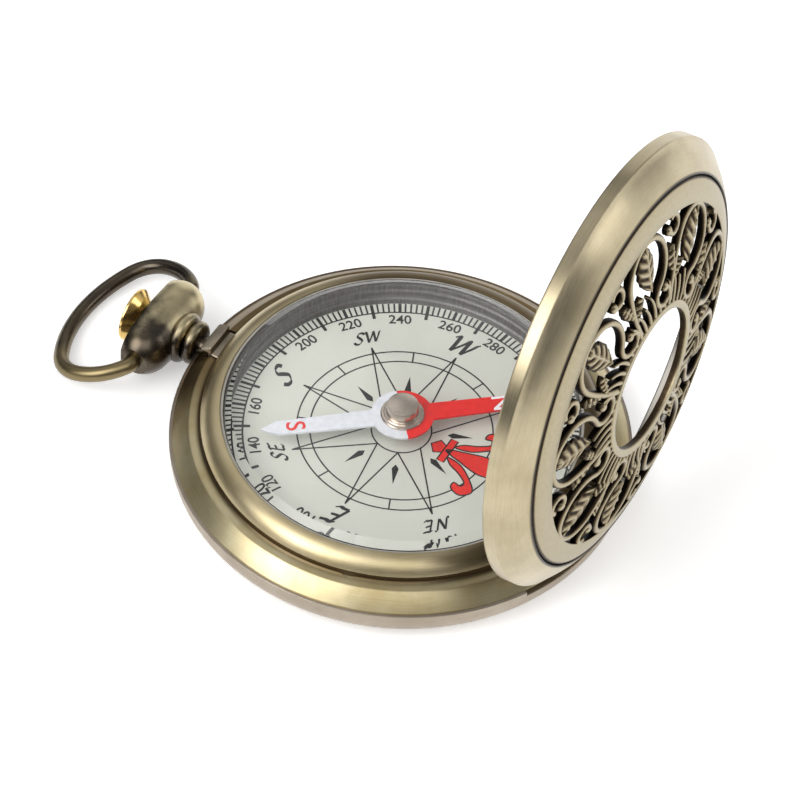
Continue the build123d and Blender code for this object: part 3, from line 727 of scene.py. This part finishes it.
def coveShoulder(work):
    def span(edge):
        return abs(edge.verts[0].co.xy.length - edge.verts[1].co.xy.length) / mm

    sloped = [e for e in work.edges if all(onSlope(v) for v in e.verts)]
    across = [e for e in sloped if span(e) > shoulder["longEdge"]]
    bmesh.ops.subdivide_edges(work, edges=across, cuts=shoulder["cuts"])
    bmesh.ops.triangulate(work, faces=[f for f in work.faces if len(f.verts) > 4])
    rows = shoulder["cove"]
    for vert in [v for v in work.verts if onSlope(v)]:
        radius = vert.co.xy.length / mm
        for (fromA, rA, zA), (fromB, rB, zB) in zip(rows, rows[1:]):
            if fromA - shoulder["slack"] <= radius <= fromB:
                t = (radius - fromA) / (fromB - fromA)
                grow = (rA + (rB - rA) * t) / radius
                vert.co = (vert.co.x * grow, vert.co.y * grow, (zA + (zB - zA) * t) * mm)
                break


skin("case_band", bandBronze, "band_bronze", reshape=coveShoulder)
for node, material, slotName in (  # pieces that keep the shape of their solid
    ("case_back", backBronze, "back_bronze"), ("bezel", bezelBronze, "bezel_bronze"),
    ("pendant", pendantBronze, "dark_bronze"), ("bow", bowBronze, "dark_bronze"),
    ("button_stem", springSteel, "spring_steel"), ("hinge_pin", pivotBrass, "pivot_brass"),
    ("pivot_post", pivotBrass, "pivot_brass"), ("pivot_pin", springSteel, "spring_steel"),
    ("needle_jewel", jewelGlass, "jewel_glass"), ("needle", paint, "needle_paint"),
    ("rehaut_ring", greyPlastic, "grey_plastic"), ("movement_ring", blackPlastic, "black_plastic"),
    ("crystal_gasket", rubber, None), ("dial", card, "dial_card"),
    ("lock_spring", springSteel, "spring_steel"), ("lift_spring", springSteel, "spring_steel"),
    ("spring_screws", springSteel, "spring_steel"),
):
    skin(node, material, slotName)
skin("lid_rim", lidBronze, "lid_bronze", lidPiece=True)
print("case, pendant and lid rim dressed")

# Needle hub: turned stud with a flange, standing up under the crystal
hub = {
    "sides": 72, "sharp": 30.0,
    "profile": (
        (0.95, 7.155), (2.21, 7.155), (2.25, 7.205), (2.25, 7.35), (2.15, 7.46), (1.95, 7.49), (1.87, 7.56),
        (1.68, 7.57), (1.62, 7.63), (1.62, 8.57), (1.57, 8.67), (1.47, 8.72), (0, 8.72), (0, 8.2),
        (0.95, 8.2),
    ),
}


def turnedMesh(name, piece, place=toMetres):
    shape = newShape()
    addTurned(shape, piece["profile"], piece["sides"])
    return meshOf(name, shape, place, piece["sharp"])


hubMesh = turnedMesh("hubStud", hub)
brushMap(hubMesh)
show("hubStud", hubMesh, hubNickel, "needle_set", "hub_nickel", "needle_hub")
print("hub turned")

# Push button: straight cone with a rim, on the pendant's axis
button = {
    "axisZ": 4.2, "sides": 80, "sharp": 24.0,
    "profile": (
        (0.63, 29.46), (1.3, 29.46), (1.3, 30.42), (1.5, 30.46), (2.82, 31.83), (2.88, 31.92), (2.88, 32.08),
        (2.82, 32.17), (2.66, 32.22), (1.8, 32.33), (0.9, 32.4), (0, 32.42), (0, 30.03), (0.63, 30.03),
    ),
}
lay = Matrix.Translation((0, 0, button["axisZ"] * mm)) @ Matrix.Rotation(math.radians(-90), 4, "X")
buttonMesh = turnedMesh("buttonCone", button, lay @ toMetres)
show("buttonCone", buttonMesh, buttonGold, nodeBody["push_button"], "polished_gold", "push_button")

# Catch: steel block with a ramped back and a nose for the lid
catch = {
    "half": 1.95, "round": 0.2, "roundSteps": 3, "cornerAngle": 25.0,
    "side": (
        (20.41, 3.01), (21.29, 3.01), (21.29, 5.31), (21.99, 5.31), (21.99, 5.91), (22.82, 5.91),
        (22.82, 6.4), (21.54, 6.88), (21.54, 5.89), (20.41, 5.89),
    ),
}


def catchMesh():
    shape = newShape()
    half = catch["half"]
    addRings(shape, [[addVert(shape, x, y, z) for y, z in catch["side"]] for x in (-half, half)])
    mesh = meshOf("catchBlock", shape)
    work = bmesh.new()
    work.from_mesh(mesh)
    bmesh.ops.recalc_face_normals(work, faces=work.faces)
    corners = [e for e in work.edges if e.calc_face_angle() > math.radians(catch["cornerAngle"])]
    bmesh.ops.bevel(
        work, geom=corners, offset=catch["round"] * mm, offset_type="OFFSET", segments=catch["roundSteps"],
        profile=0.5, affect="EDGES", clamp_overlap=True,
    )
    work.to_mesh(mesh)
    work.free()
    tidyMesh(mesh, smoothing["drawn"], smoothing["bevelMerge"])
    return mesh


show("catchBlock", catchMesh(), catchSteel, nodeBody["catch"], "catch_steel", "catch")
print("button and catch made")

# Crystal: thin domed glass with a bevelled edge
crystal = {
    "wall": 1.2, "edge": 1.05, "bevelRise": 1.55, "bevelRun": 0.85, "seat": 0.4, "domeRings": 20,
    "sides": 144, "sharp": 12.0,
}


def domeRow(radius, low, top):
    count = crystal["domeRings"]
    return [(radius * i / count, low + (top - low) * (1 - (i / count) ** 2)) for i in range(count + 1)]


def crystalMesh():
    low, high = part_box("crystal")
    edgeR, bottom, top = high.x / mm, low.z / mm, high.z / mm
    domeR = edgeR - crystal["bevelRun"]
    outer = domeRow(domeR, bottom + crystal["bevelRise"], top)
    inner = domeRow(domeR - crystal["seat"], bottom, top - crystal["wall"])
    profile = outer + [(edgeR, bottom + crystal["edge"]), (edgeR, bottom)] + inner[::-1]
    return turnedMesh("crystalGlass", {**crystal, "profile": profile})


show("crystalGlass", crystalMesh(), glass, "case", "clear_glass", "crystal")
print("crystal domed")

# Dial print: thin ink on the card, with a layer more where ink crosses ink
ink = {
    "thick": 0.012, "lift": 0.001, "layer": 0.002, "tickIn": 16.2, "tickOut": 17.36, "thinTick": 0.2,
    "tenTick": 0.34, "longTick": 0.75, "numberAt": 15.15, "numberSize": 1.62, "numberBold": 0.026,
    "numberLift": 0.55, "nib": 0.18, "hair": 0.055, "nibAngle": 40.0, "penSteps": 7, "letterGap": 0.14,
    "poleAt": 14.05, "letterAt": 13.3, "pairAt": 13.05, "letterSize": 2.25, "pairSize": 1.42, "lean": 0.24,
    "ringOut": 10.75, "ringIn": 9.4, "ringSides": 96, "line": 0.16, "tip": 11.6, "hubRing": 3.1,
    "baseSpread": 23.0, "dartIn": 4.75, "dartOut": 7.4, "dartWide": 0.36, "dartAt": 5.3, "dartWay": 22.5,
}
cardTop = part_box("dial")[1].z / mm
inkLow = cardTop + ink["lift"]


def inkTop(layers):
    return cardTop + ink["thick"] + ink["layer"] * layers


def inkPatch(shape, outline, layers=0):
    heights = (inkLow, inkTop(layers))
    addRings(shape, [[addVert(shape, x, y, z) for x, y in outline] for z in heights])


def inkLine(shape, path, width=ink["line"], layers=0, closed=False):
    rings = []
    low, high = inkLow, inkTop(layers)
    widths = width if isinstance(width, list) else [width] * len(path)
    for p, side, wide in zip(path, sideSteps(path, closed), widths):
        a, b = Vector(p) + side * wide / 2, Vector(p) - side * wide / 2
        corners = ((a, low), (b, low), (b, high), (a, high))
        rings.append([addVert(shape, q.x, q.y, z) for q, z in corners])
    addRings(shape, rings, closed)


def tickRing(name, inner, width, count, start):
    shape = newShape()
    outer, half = ink["tickOut"], width / 2
    inkPatch(shape, [(inner, -half), (outer, -half), (outer, half), (inner, half)])
    return ringOf(name, meshOf(name, shape), blackInk, Count=count, Start=math.radians(start))


def dialRings():
    shape = newShape()
    sides = ink["ringSides"]
    for radius in (ink["ringOut"], ink["ringIn"], ink["hubRing"], ink["tickIn"]):
        circle = [polar(radius, 360 * i / sides) for i in range(sides)]
        inkLine(shape, circle, closed=True)
    return meshOf("rings", shape)


def starPoint(way):
    shape = newShape()
    tip = polar(ink["tip"], way)
    filled = (ink["tip"] - ink["ringOut"]) / (ink["tip"] - ink["hubRing"])
    corners = [tip]
    for side in (-1, 1):
        foot = polar(ink["hubRing"], way + side * ink["baseSpread"])
        inkLine(shape, [tip, foot], layers=1)
        corners.append(tip.lerp(foot, filled))
    inkPatch(shape, corners, 2)
    return meshOf("starPoint", shape)


def darts():
    shape = newShape()
    at, wide = ink["dartAt"], ink["dartWide"]
    inkPatch(shape, [(ink["dartIn"], 0), (at, -wide), (ink["dartOut"], 0), (at, wide)])
    inkLine(shape, [(ink["ringIn"], 0), (ink["ringOut"], 0)], layers=1)
    return ringOf("darts", meshOf("darts", shape), blackInk, Count=8, Start=math.radians(ink["dartWay"]))


def number(degree):
    way, height = dialWay(degree), cardTop + ink["thick"] * ink["numberLift"]
    spot = polar(ink["numberAt"], way)
    return textMesh(str(degree), ink["numberSize"], ink["thick"], ink["numberBold"], spot, height, way - 90)


penStrokes = {  # broad-pen letters: width, then each stroke through a few points, height 1
    "N": (0.95, [
        [(-0.06, 0.0), (0.1, 0.0), (0.17, 0.5), (0.24, 1.0)], [(0.24, 1.0), (0.46, 0.5), (0.68, 0.0)],
        [(0.68, 0.0), (0.78, 0.6), (0.86, 1.02), (1.02, 1.06)],
    ]),
    "E": (0.72, [
        [(0.3, 1.0), (0.2, 0.5), (0.1, 0.0)], [(0.12, 0.9), (0.3, 1.0), (0.55, 0.98), (0.8, 1.04)],
        [(0.2, 0.5), (0.42, 0.52), (0.6, 0.56)], [(0.1, 0.0), (0.35, 0.02), (0.55, 0.0), (0.72, 0.12)],
    ]),
    "S": (0.72, [
        [(0.74, 0.82), (0.62, 1.0), (0.36, 0.96), (0.26, 0.74), (0.44, 0.52), (0.58, 0.28), (0.4, 0.02),
         (0.14, 0.02), (0.0, 0.2)],
    ]),
    "W": (1.2, [
        [(-0.12, 0.84), (0.04, 1.0), (0.16, 0.5), (0.24, 0.0)], [(0.24, 0.0), (0.44, 0.5), (0.58, 0.94)],
        [(0.5, 0.88), (0.6, 0.94), (0.68, 0.5), (0.76, 0.0)],
        [(0.76, 0.0), (0.94, 0.5), (1.04, 0.86), (1.13, 0.95)],
    ]),
}


def penWord(shape, word, size, radius, degree):
    way = dialWay(degree)
    nib = polar(1, ink["nibAngle"])
    turn = Matrix.Rotation(math.radians(way - 90), 2)
    total = sum(penStrokes[letter][0] for letter in word) + ink["letterGap"] * (len(word) - 1)
    start = -total / 2
    for letter in word:
        wide, strokes = penStrokes[letter]
        for count, stroke in enumerate(strokes):
            leaned = [(start + x + ink["lean"] * (y - 0.5), y - 0.5) for x, y in stroke]
            pen = curveThrough(leaned, ink["penSteps"])
            widths = [(ink["hair"] + ink["nib"] * abs(side.dot(nib))) * size for side in sideSteps(pen)]
            path = [turn @ (p * size) + polar(radius, way) for p in pen]
            inkLine(shape, path, widths, count / 2)
        start += wide + ink["letterGap"]


def penLetters():
    shape = newShape()
    for count, word in enumerate(("NE", "E", "SE", "S", "SW", "W", "NW"), start=1):
        size, radius = ink["letterSize"], ink["letterAt"]
        if len(word) == 2:
            size, radius = ink["pairSize"], ink["pairAt"]
        elif word == "S":
            radius = ink["poleAt"]
        penWord(shape, word, size, radius, 45 * count)
    return meshOf("penLetters", shape)


def dialMarks():
    tickIn, tenTick = ink["tickIn"], ink["tenTick"]
    parts = [
        tickRing("thinTicks", tickIn, ink["thinTick"], 180, 0),
        tickRing("evenTens", tickIn, tenTick, 18, dialWay(0)),
        tickRing("oddTens", tickIn - ink["longTick"], tenTick, 18, dialWay(10)),
        dialRings(),
    ]
    parts += [starPoint(dialWay(45 * count)) for count in range(1, 8)]  # the lily stands for north
    parts.append(darts())
    parts += [number(degree) for degree in range(20, 360, 20) if degree != 180]
    parts.append(penLetters())
    return joined("dialMarks", parts)


lily = {  # three petals tied by a band, drawn along +X
    "middle": (
        (5.2, 0), (7.4, -0.75), (9.6, -1.25), (11.6, -0.8), (13.6, 0), (11.6, 0.8), (9.6, 1.25), (7.4, 0.75),
    ),
    "side": (
        (5.9, 0.75), (7.6, 1.1), (9.2, 2.3), (10.2, 3.6), (9.3, 4.6), (8.1, 4.2), (8.0, 3.4), (8.8, 3.5),
        (8.9, 2.9), (7.8, 2.1), (6.5, 1.5),
    ),
    "band": ((5.0, -1.6), (5.8, -1.6), (5.8, 1.6), (5.0, 1.6)),
    "foot": ((3.5, 0), (4.2, -0.9), (5.0, -0.5), (5.0, 0.5), (4.2, 0.9)),
    "steps": 5,
}


def northLily():
    red, dark = newShape(), newShape()
    turn = Matrix.Rotation(math.radians(dialWay(0)), 2)
    other = [(x, -y) for x, y in reversed(lily["side"])]
    petals = [curveThrough(petal, lily["steps"], True) for petal in (lily["middle"], lily["side"], other)]
    for outline in petals + [lily["band"], lily["foot"]]:
        path = [turn @ Vector(p) for p in outline]
        inkPatch(red, path, 2)
        inkLine(dark, path, layers=4, closed=True)
    return meshOf("lilyRed", red), meshOf("lilyLine", dark)


lilyRed, lilyLine = northLily()
show("dialMarks", dialMarks(), blackInk, "case", "dial_card")
show("northLily", lilyRed, redInk, "case", "dial_card")
show("northLilyLine", lilyLine, blackInk, "case", "dial_card")
print("dial printed")


def needleLetter(name, word, distance, material):
    spot, turn = polar(distance, needle["way"]), needle["way"] + 90
    height = needle["top"] + needle["ink"] * needle["inkLift"]
    mesh = textMesh(word, needle["letterSize"], needle["ink"], needle["bold"], spot, height, turn)
    show(name, mesh, material, "needle_set", "needle_paint")


needleLetter("southLetter", "S", needle["southAt"], redInk)
needleLetter("northLetter", "N", -needle["northAt"], whiteInk)
print("needle lettered")

# Pierced plate: leaf scroll between a plain border and a window lip
plate = {
    "thick": 0.8, "border": 2.5, "borderRise": 0.82, "domeRise": 1.34, "holeR": 7.43, "lip": 1.25,
    "lipDrop": 0.5, "edgeR": 20.3, "edgeH": 3.7, "ledgeR": 19.9, "ledgeH": 2.9, "lidZ": 5.2985,
    "sectors": 9, "underWear": 0.62, "hang": 0.25, "borderSides": 192, "lipSides": 128,
}
stem = {
    "wide": 0.75, "relief": 0.34, "steps": 6, "foot": 0.03, "sideWear": 0.15, "wearPower": 1.6,
    "legStep": 2.0, "curlEnd": 0.92, "curlTip": 0.8, "borderTip": 0.85,
}
ray = {
    "count": 6, "wide": 0.66, "tip": 0.3, "relief": 0.3, "bend": 5.0, "start": 8.25, "short": 8.85,
    "lengths": (1.0, 0.84), "steps": (0, 0.15, 0.3, 0.45, 0.6, 0.75, 0.9, 1.0),
}
leaf = {
    "along": 30, "across": 14, "veins": 5, "smallVeins": 4, "fullness": 0.75, "stub": 0.02,
    "notch": 0.13, "notched": (0.08, 0.95), "slant": 0.7, "spine": 0.16, "crown": 0.2, "rib": 0.24,
    "sink": 0.44, "valleyWear": 0.2, "edgeWear": 0.45,
}
bud = {
    "radius": 0.55, "sides": 14,
    "rows": (  # height, share of the radius, wear and shade value
        (-plate["thick"], 0.9, plate["underWear"]), (-plate["thick"], 1.0, 0.0), (-0.36, 1.0, 0.3),
        (-0.16, 0.85, 0.7), (-0.02, 0.5, 1.0), (0.0, 0.12, 1.0),
    ),
}
share = {  # of the scroll's width: a leaf on the leg has its drop, length, width and lean in degrees
    "loop": 0.39, "leg": 1.645, "curl": 0.165, "curlIn": 0.095, "borderCurl": 0.108,
    "leafLong": 0.61, "leafWide": 0.33, "ray": 0.3,
    "bract": (0.35, 0.36, 0.165, 32.0), "sprig": (0.45, 0.3, 0.14, -30.0),
}
turns = {"loop": 240.0, "curl": 165.0, "curlIn": 150.0, "borderCurl": 285.0, "borderEnd": 45.0}
ringR = plate["edgeR"] - plate["border"]
ringH = plate["edgeH"] + plate["borderRise"]
lipR = plate["holeR"] + plate["lip"]
scrollW = ringR - lipR
domeRate = plate["domeRise"] / (ringR ** 2 - plate["holeR"] ** 2)


def stemSection(relief):
    under, foot = -plate["thick"], stem["foot"] - plate["thick"]
    section = [(-1.0, under, plate["underWear"]), (-1.0, foot, 0.0)]
    for k in range(stem["steps"] + 1):
        a = math.pi - math.pi * k / stem["steps"]
        wearAndShade = stem["sideWear"] + (1 - stem["sideWear"]) * math.sin(a) ** stem["wearPower"]
        section.append((math.cos(a), relief * (math.sin(a) - 1), wearAndShade))
    return section + [(1.0, foot, 0.0), (1.0, under, plate["underWear"])]


def addStem(shape, path, start, end, relief=stem["relief"]):
    rings = []
    for i, (p, side) in enumerate(zip(path, sideSteps(path))):
        half = (start + (end - start) * i / (len(path) - 1)) / 2
        ring = []
        for x, z, wearAndShade in stemSection(relief):
            q = Vector(p) + side * x * half
            ring.append(addVert(shape, q.x, q.y, z, wearAndShade))
        rings.append(ring)
    addRings(shape, rings)


def addBud(shape, centre):
    rings = []
    for z, size, wearAndShade in bud["rows"]:
        spots = [centre + polar(bud["radius"] * size, 360 * k / bud["sides"]) for k in range(bud["sides"])]
        rings.append([addVert(shape, q.x, q.y, z, wearAndShade) for q in spots])
    addRings(shape, rings)


def leafHalf(t, wide, veins):
    half = wide / 2 * math.sin(math.pi * t) ** leaf["fullness"] + leaf["stub"]
    first, last = leaf["notched"]
    if first < t < last:  # notched between the veins
        half *= 1 - leaf["notch"] * (1 - abs(2 * ((t * veins) % 1) - 1))
    return half


def addLeaf(shape, root, way, long, wide, veins):
    rows, across = leaf["along"], leaf["across"]
    axis, side = polar(1, way), polar(1, way + 90)
    top, under = [], []
    for i in range(rows + 1):
        t = i / rows
        half = leafHalf(t, wide, veins)
        rowTop, rowUnder = [], []
        for k in range(across + 1):
            x = 2 * k / across - 1
            p = Vector(root) + axis * long * t + side * half * x
            vein = math.cos(2 * math.pi * (t * veins + abs(x) * leaf["slant"]))
            rib = max(math.exp(-(x / leaf["spine"]) ** 2), 0.5 + 0.5 * vein)
            z = (1 - x * x) * leaf["crown"] + leaf["rib"] * rib * (1 - x ** 6) - leaf["sink"]
            inner = 0 < k < across
            wearAndShade = leaf["valleyWear"] + (1 - leaf["valleyWear"]) * rib if inner else leaf["edgeWear"]
            underWear = plate["underWear"] if inner and 0 < i < rows else 0.0
            rowTop.append(addVert(shape, p.x, p.y, z, wearAndShade))
            rowUnder.append(addVert(shape, p.x, p.y, -plate["thick"], underWear))
        top.append(rowTop)
        under.append(rowUnder)
    faces = shape["faces"]
    for i in range(rows):
        for k in range(across):
            faces.append((top[i][k], top[i][k + 1], top[i + 1][k + 1], top[i + 1][k]))
            faces.append((under[i][k], under[i + 1][k], under[i + 1][k + 1], under[i][k + 1]))
        faces.append((top[i][0], top[i + 1][0], under[i + 1][0], under[i][0]))
        faces.append((top[i][-1], under[i][-1], under[i + 1][-1], top[i + 1][-1]))
    for k in range(across):
        faces.append((top[0][k], under[0][k], under[0][k + 1], top[0][k + 1]))
        faces.append((top[-1][k], top[-1][k + 1], under[-1][k + 1], under[-1][k]))


def addRays(shape, curlC, curlR):
    step = 360 / plate["sectors"] / ray["count"]
    curlWay = math.degrees(math.atan2(curlC.y, curlC.x))
    curlWide = math.degrees(curlR / curlC.length)
    fullLong = lipR + scrollW * share["ray"] - ray["start"]
    for count in range(ray["count"]):
        way = 90 + step * (count + 0.5) - 180 / plate["sectors"]
        long = lipR + scrollW * share["ray"] * ray["lengths"][count % 2] - ray["start"]
        if abs(way - curlWay) < curlWide:
            long = ray["short"] - ray["start"]  # a ray under the curl stays on the lip
        bend = ray["bend"] * long / fullLong
        path = [polar(ray["start"] + long * t, way + bend * t * t) for t in ray["steps"]]
        addStem(shape, path, ray["wide"], ray["tip"], ray["relief"])


def scrollSector():
    shape = newShape()
    wide = stem["wide"]
    loopR = scrollW * share["loop"]
    loopC = Vector((0, ringR - loopR))
    loopEnd = 180 - turns["loop"]
    addStem(shape, arcPath(loopC, loopR, loopEnd, turns["loop"]), wide, wide)
    legR = scrollW * share["leg"]
    legC = Vector((legR - loopR, loopC.y))
    legTurn = math.degrees(math.asin((loopC.y - lipR + wide / 2) / legR))
    addStem(shape, arcPath(legC, legR, 180, legTurn, stem["legStep"]), wide, wide)
    curlR = scrollW * share["curl"]
    curlC = loopC + polar(loopR + curlR, loopEnd)
    curlEnd = loopEnd + 180 + turns["curl"]
    thin = wide * stem["curlEnd"]
    addStem(shape, arcPath(curlC, curlR, loopEnd + 180, turns["curl"]), wide, thin)
    curlInR = scrollW * share["curlIn"]
    curlInC = curlC + polar(curlR - curlInR, curlEnd)
    addStem(shape, arcPath(curlInC, curlInR, curlEnd, turns["curlIn"]), thin, wide * stem["curlTip"])
    addBud(shape, curlInC + polar(curlInR, curlEnd + turns["curlIn"]))
    borderR = scrollW * share["borderCurl"]
    borderWay = 90 - 180 / plate["sectors"]
    borderC = polar(ringR - borderR, borderWay)
    borderFrom = borderWay - turns["borderCurl"] + turns["borderEnd"]
    borderArc = arcPath(borderC, borderR, borderFrom, turns["borderCurl"])
    addStem(shape, borderArc, wide * stem["borderTip"], wide)
    addBud(shape, borderC + polar(borderR, borderFrom))
    leafLong, leafWide = scrollW * share["leafLong"], scrollW * share["leafWide"]
    addLeaf(shape, (0, ringR - plate["hang"]), -90, leafLong, leafWide, leaf["veins"])
    for drop, long, across, lean in (share["bract"], share["sprig"]):
        drop *= scrollW
        root = Vector((legC.x - math.sqrt(legR * legR - drop * drop), legC.y - drop))
        addLeaf(shape, root, 90 + lean, scrollW * long, scrollW * across, leaf["smallVeins"])
    addRays(shape, curlC, curlR)
    return meshOf("scrollSector", shape)


def plateRings():
    shape = newShape()
    thick, drop, under = plate["thick"], plate["lipDrop"], plate["underWear"]
    lipTop = ringH + domeRate * (ringR ** 2 - lipR ** 2)
    holeTop = ringH + plate["domeRise"]
    edgeR, edgeH, ledgeR, ledgeH = (plate[k] for k in ("edgeR", "edgeH", "ledgeR", "ledgeH"))
    border = (  # a corner, then rows about it: radius, height, wear and painted shade
        # Painted shade: the plate's edge darker beside the groove
        (edgeR, edgeH, ((0, ledgeH - edgeH, 0.0), (0, -0.12, 0.1), (-0.14, 0.01, 0.35), (-0.34, 0.09, 0.9))),
        (ringR, ringH, ((0.14, -0.03, 0.95), (0.03, -0.07, 0.8), (0, -0.16, 0.3))),
        (ringR, ringH - thick, ((-0.02, 0, 0.0), (0.1, -0.05, under))),
        (ledgeR, ledgeH, ((-0.1, 0.04, under), (0, 0, 0.0))),
    )
    lip = (
        (lipR, lipTop - thick, ((-0.1, 0.01, under), (0, 0, 0.0), (0, thick - drop, 0.0))),
        (ray["start"], holeTop, ((0.05, -drop - 0.05, 0.0), (-0.02, -0.1, 0.8), (-0.12, -0.02, 1.0))),
        # Painted shade: the window's wall darker towards its foot
        (plate["holeR"], holeTop, ((0.1, -0.02, 1.0), (0, -0.1, 0.9), (0, -0.3, 0.45))),
        (plate["holeR"], holeTop - thick, ((0, 0, 0.3), (0.1, -0.01, under))),
    )
    for corners, sides in ((border, plate["borderSides"]), (lip, plate["lipSides"])):
        profile = [(radius + r, height + z, wearAndShade) for radius, height, rows in corners for r, z, wearAndShade in rows]
        addTurned(shape, profile, sides)
    return meshOf("plateRings", shape)


sectors = ringOf(
    "leafScroll", scrollSector(), plateBronze, Count=plate["sectors"], Start=0.0,
    **{"Ring radius": ringR * mm, "Ring height": ringH * mm, "Dome rate": domeRate / mm},
)
plateMesh = joined("piercedPlate", [plateRings(), sectors])
plateMesh.transform(lidPlace @ Matrix.Translation((0, 0, plate["lidZ"] * mm)))
plateMesh.set_sharp_from_angle(angle=math.radians(smoothing["plate"]))
show("piercedPlate", plateMesh, plateBronze, "lid", "plate_bronze", "pierced_plate")
print("plate pierced:", len(plateMesh.polygons), "faces")

# Stage: pale floor, soft lights and the camera
studio = {
    "floor": 6.0, "floorGlow": 0.4, "floorRough": 0.9, "floorGloss": 0.1, "floorCloud": 0.4,
    "floorTones": ((0.2, grey(0.94)), (0.8, grey(0.96))), "backdrop": 0.92,
    "air": ((0.0, grey(0.06)), (0.3, grey(0.06)), (0.75, grey(0.36)), (1.0, grey(0.48))),  # level to overhead
    "glows": (  # direction, half angle in degrees, brightness: key, left air, far side, behind the lid
        ((-0.62, 0.33, 0.71), 29.0, 4.5), ((0.35, 0.62, 0.7), 28.0, 0.5), ((0.93, 0.22, 0.22), 28.0, 0.95),
        ((0.588, -0.79, 0.11), 34.0, 0.75),
    ),
    "lamps": (  # name, place, size, power
        ("fillLight", (-0.44, -0.32, 0.84), 0.6, 1.5), ("backLight", (0.35, -0.65, 0.45), 0.35, 0.8),
    ),
    "aim": (0, 0, 0.008), "lens": 225.0, "sensor": 36, "clip": (0.01, 20), "azimuth": -63.3,
    "elevation": 48.798, "roll": 3.672, "distance": 0.515267, "target": (0.004309, 0.002555, 0.004120),
}


def floorPlane():
    half = studio["floor"] / 2
    mesh = bpy.data.meshes.new("floor")
    corners = [(-half, -half, 0), (half, -half, 0), (half, half, 0), (-half, half, 0)]
    mesh.from_pydata(corners, [], [(0, 1, 2, 3)])
    gloss = studio["floorGloss"]
    material, tree, shader = newFinish("paleFloor", 0.0, studio["floorRough"], Specular_IOR_Level=gloss)
    faint = noise(tree, objectPoint(tree), studio["floorCloud"], 2.0)
    coat(tree, shader, ramp(tree, faint, *studio["floorTones"]))
    shader.inputs["Emission Color"].default_value = plainWhite
    shader.inputs["Emission Strength"].default_value = studio["floorGlow"]
    mesh.materials.append(material)
    obj = placed("floor", mesh)
    obj.location.z = cadBox[0].z


def studioAir():
    world = bpy.data.worlds.new("studioAir")
    bpy.context.scene.world = world
    world.use_nodes = True
    tree = world.node_tree
    way = addNode(tree, "ShaderNodeTexCoord")["Generated"]
    total = ramp(tree, split(tree, way)["Z"], *studio["air"])
    for middle, halfAngle, bright in studio["glows"]:
        near = along(tree, way, Vector(middle).normalized())
        glow = fade(tree, near, math.cos(math.radians(halfAngle)), 1.0, bright)
        total = plus(tree, total, glow)
    lit = tree.nodes["Background"]
    feed(tree, lit.inputs["Color"], total)
    backdrop = grey(studio["backdrop"])  # plain behind the floor
    pale = addNode(tree, "ShaderNodeBackground", {"Color": backdrop})[0]
    swapFor(tree, "Is Camera Ray", lit.outputs[0], pale, "World Output")


def softLight(name, spot, size, power):
    lamp = bpy.data.lights.new(name, "AREA")
    lamp.size, lamp.energy = size, power
    obj = placed(name, lamp)
    obj.location = spot
    obj.rotation_euler = (Vector(studio["aim"]) - Vector(spot)).to_track_quat("-Z", "Y").to_euler()


def photoCamera():
    a, e, r = (math.radians(studio[k]) for k in ("azimuth", "elevation", "roll"))
    back = Vector((math.sin(a) * math.cos(e), -math.cos(a) * math.cos(e), math.sin(e)))
    right = Vector((math.cos(a), math.sin(a), 0))
    up = back.cross(right)
    right, up = right * math.cos(r) + up * math.sin(r), up * math.cos(r) - right * math.sin(r)
    camera = bpy.data.cameras.new("camera")
    camera.lens, camera.sensor_width = studio["lens"], studio["sensor"]
    camera.clip_start, camera.clip_end = studio["clip"]
    obj = placed("camera", camera)
    place = Matrix((right, up, back)).transposed().to_4x4()
    place.translation = Vector(studio["target"]) + back * studio["distance"]
    obj.matrix_world = place
    bpy.context.scene.camera = obj


floorPlane()
studioAir()
for lamp in studio["lamps"]:
    softLight(*lamp)
bpy.context.scene.view_settings.view_transform = "Standard"
photoCamera()
print("studio lit")
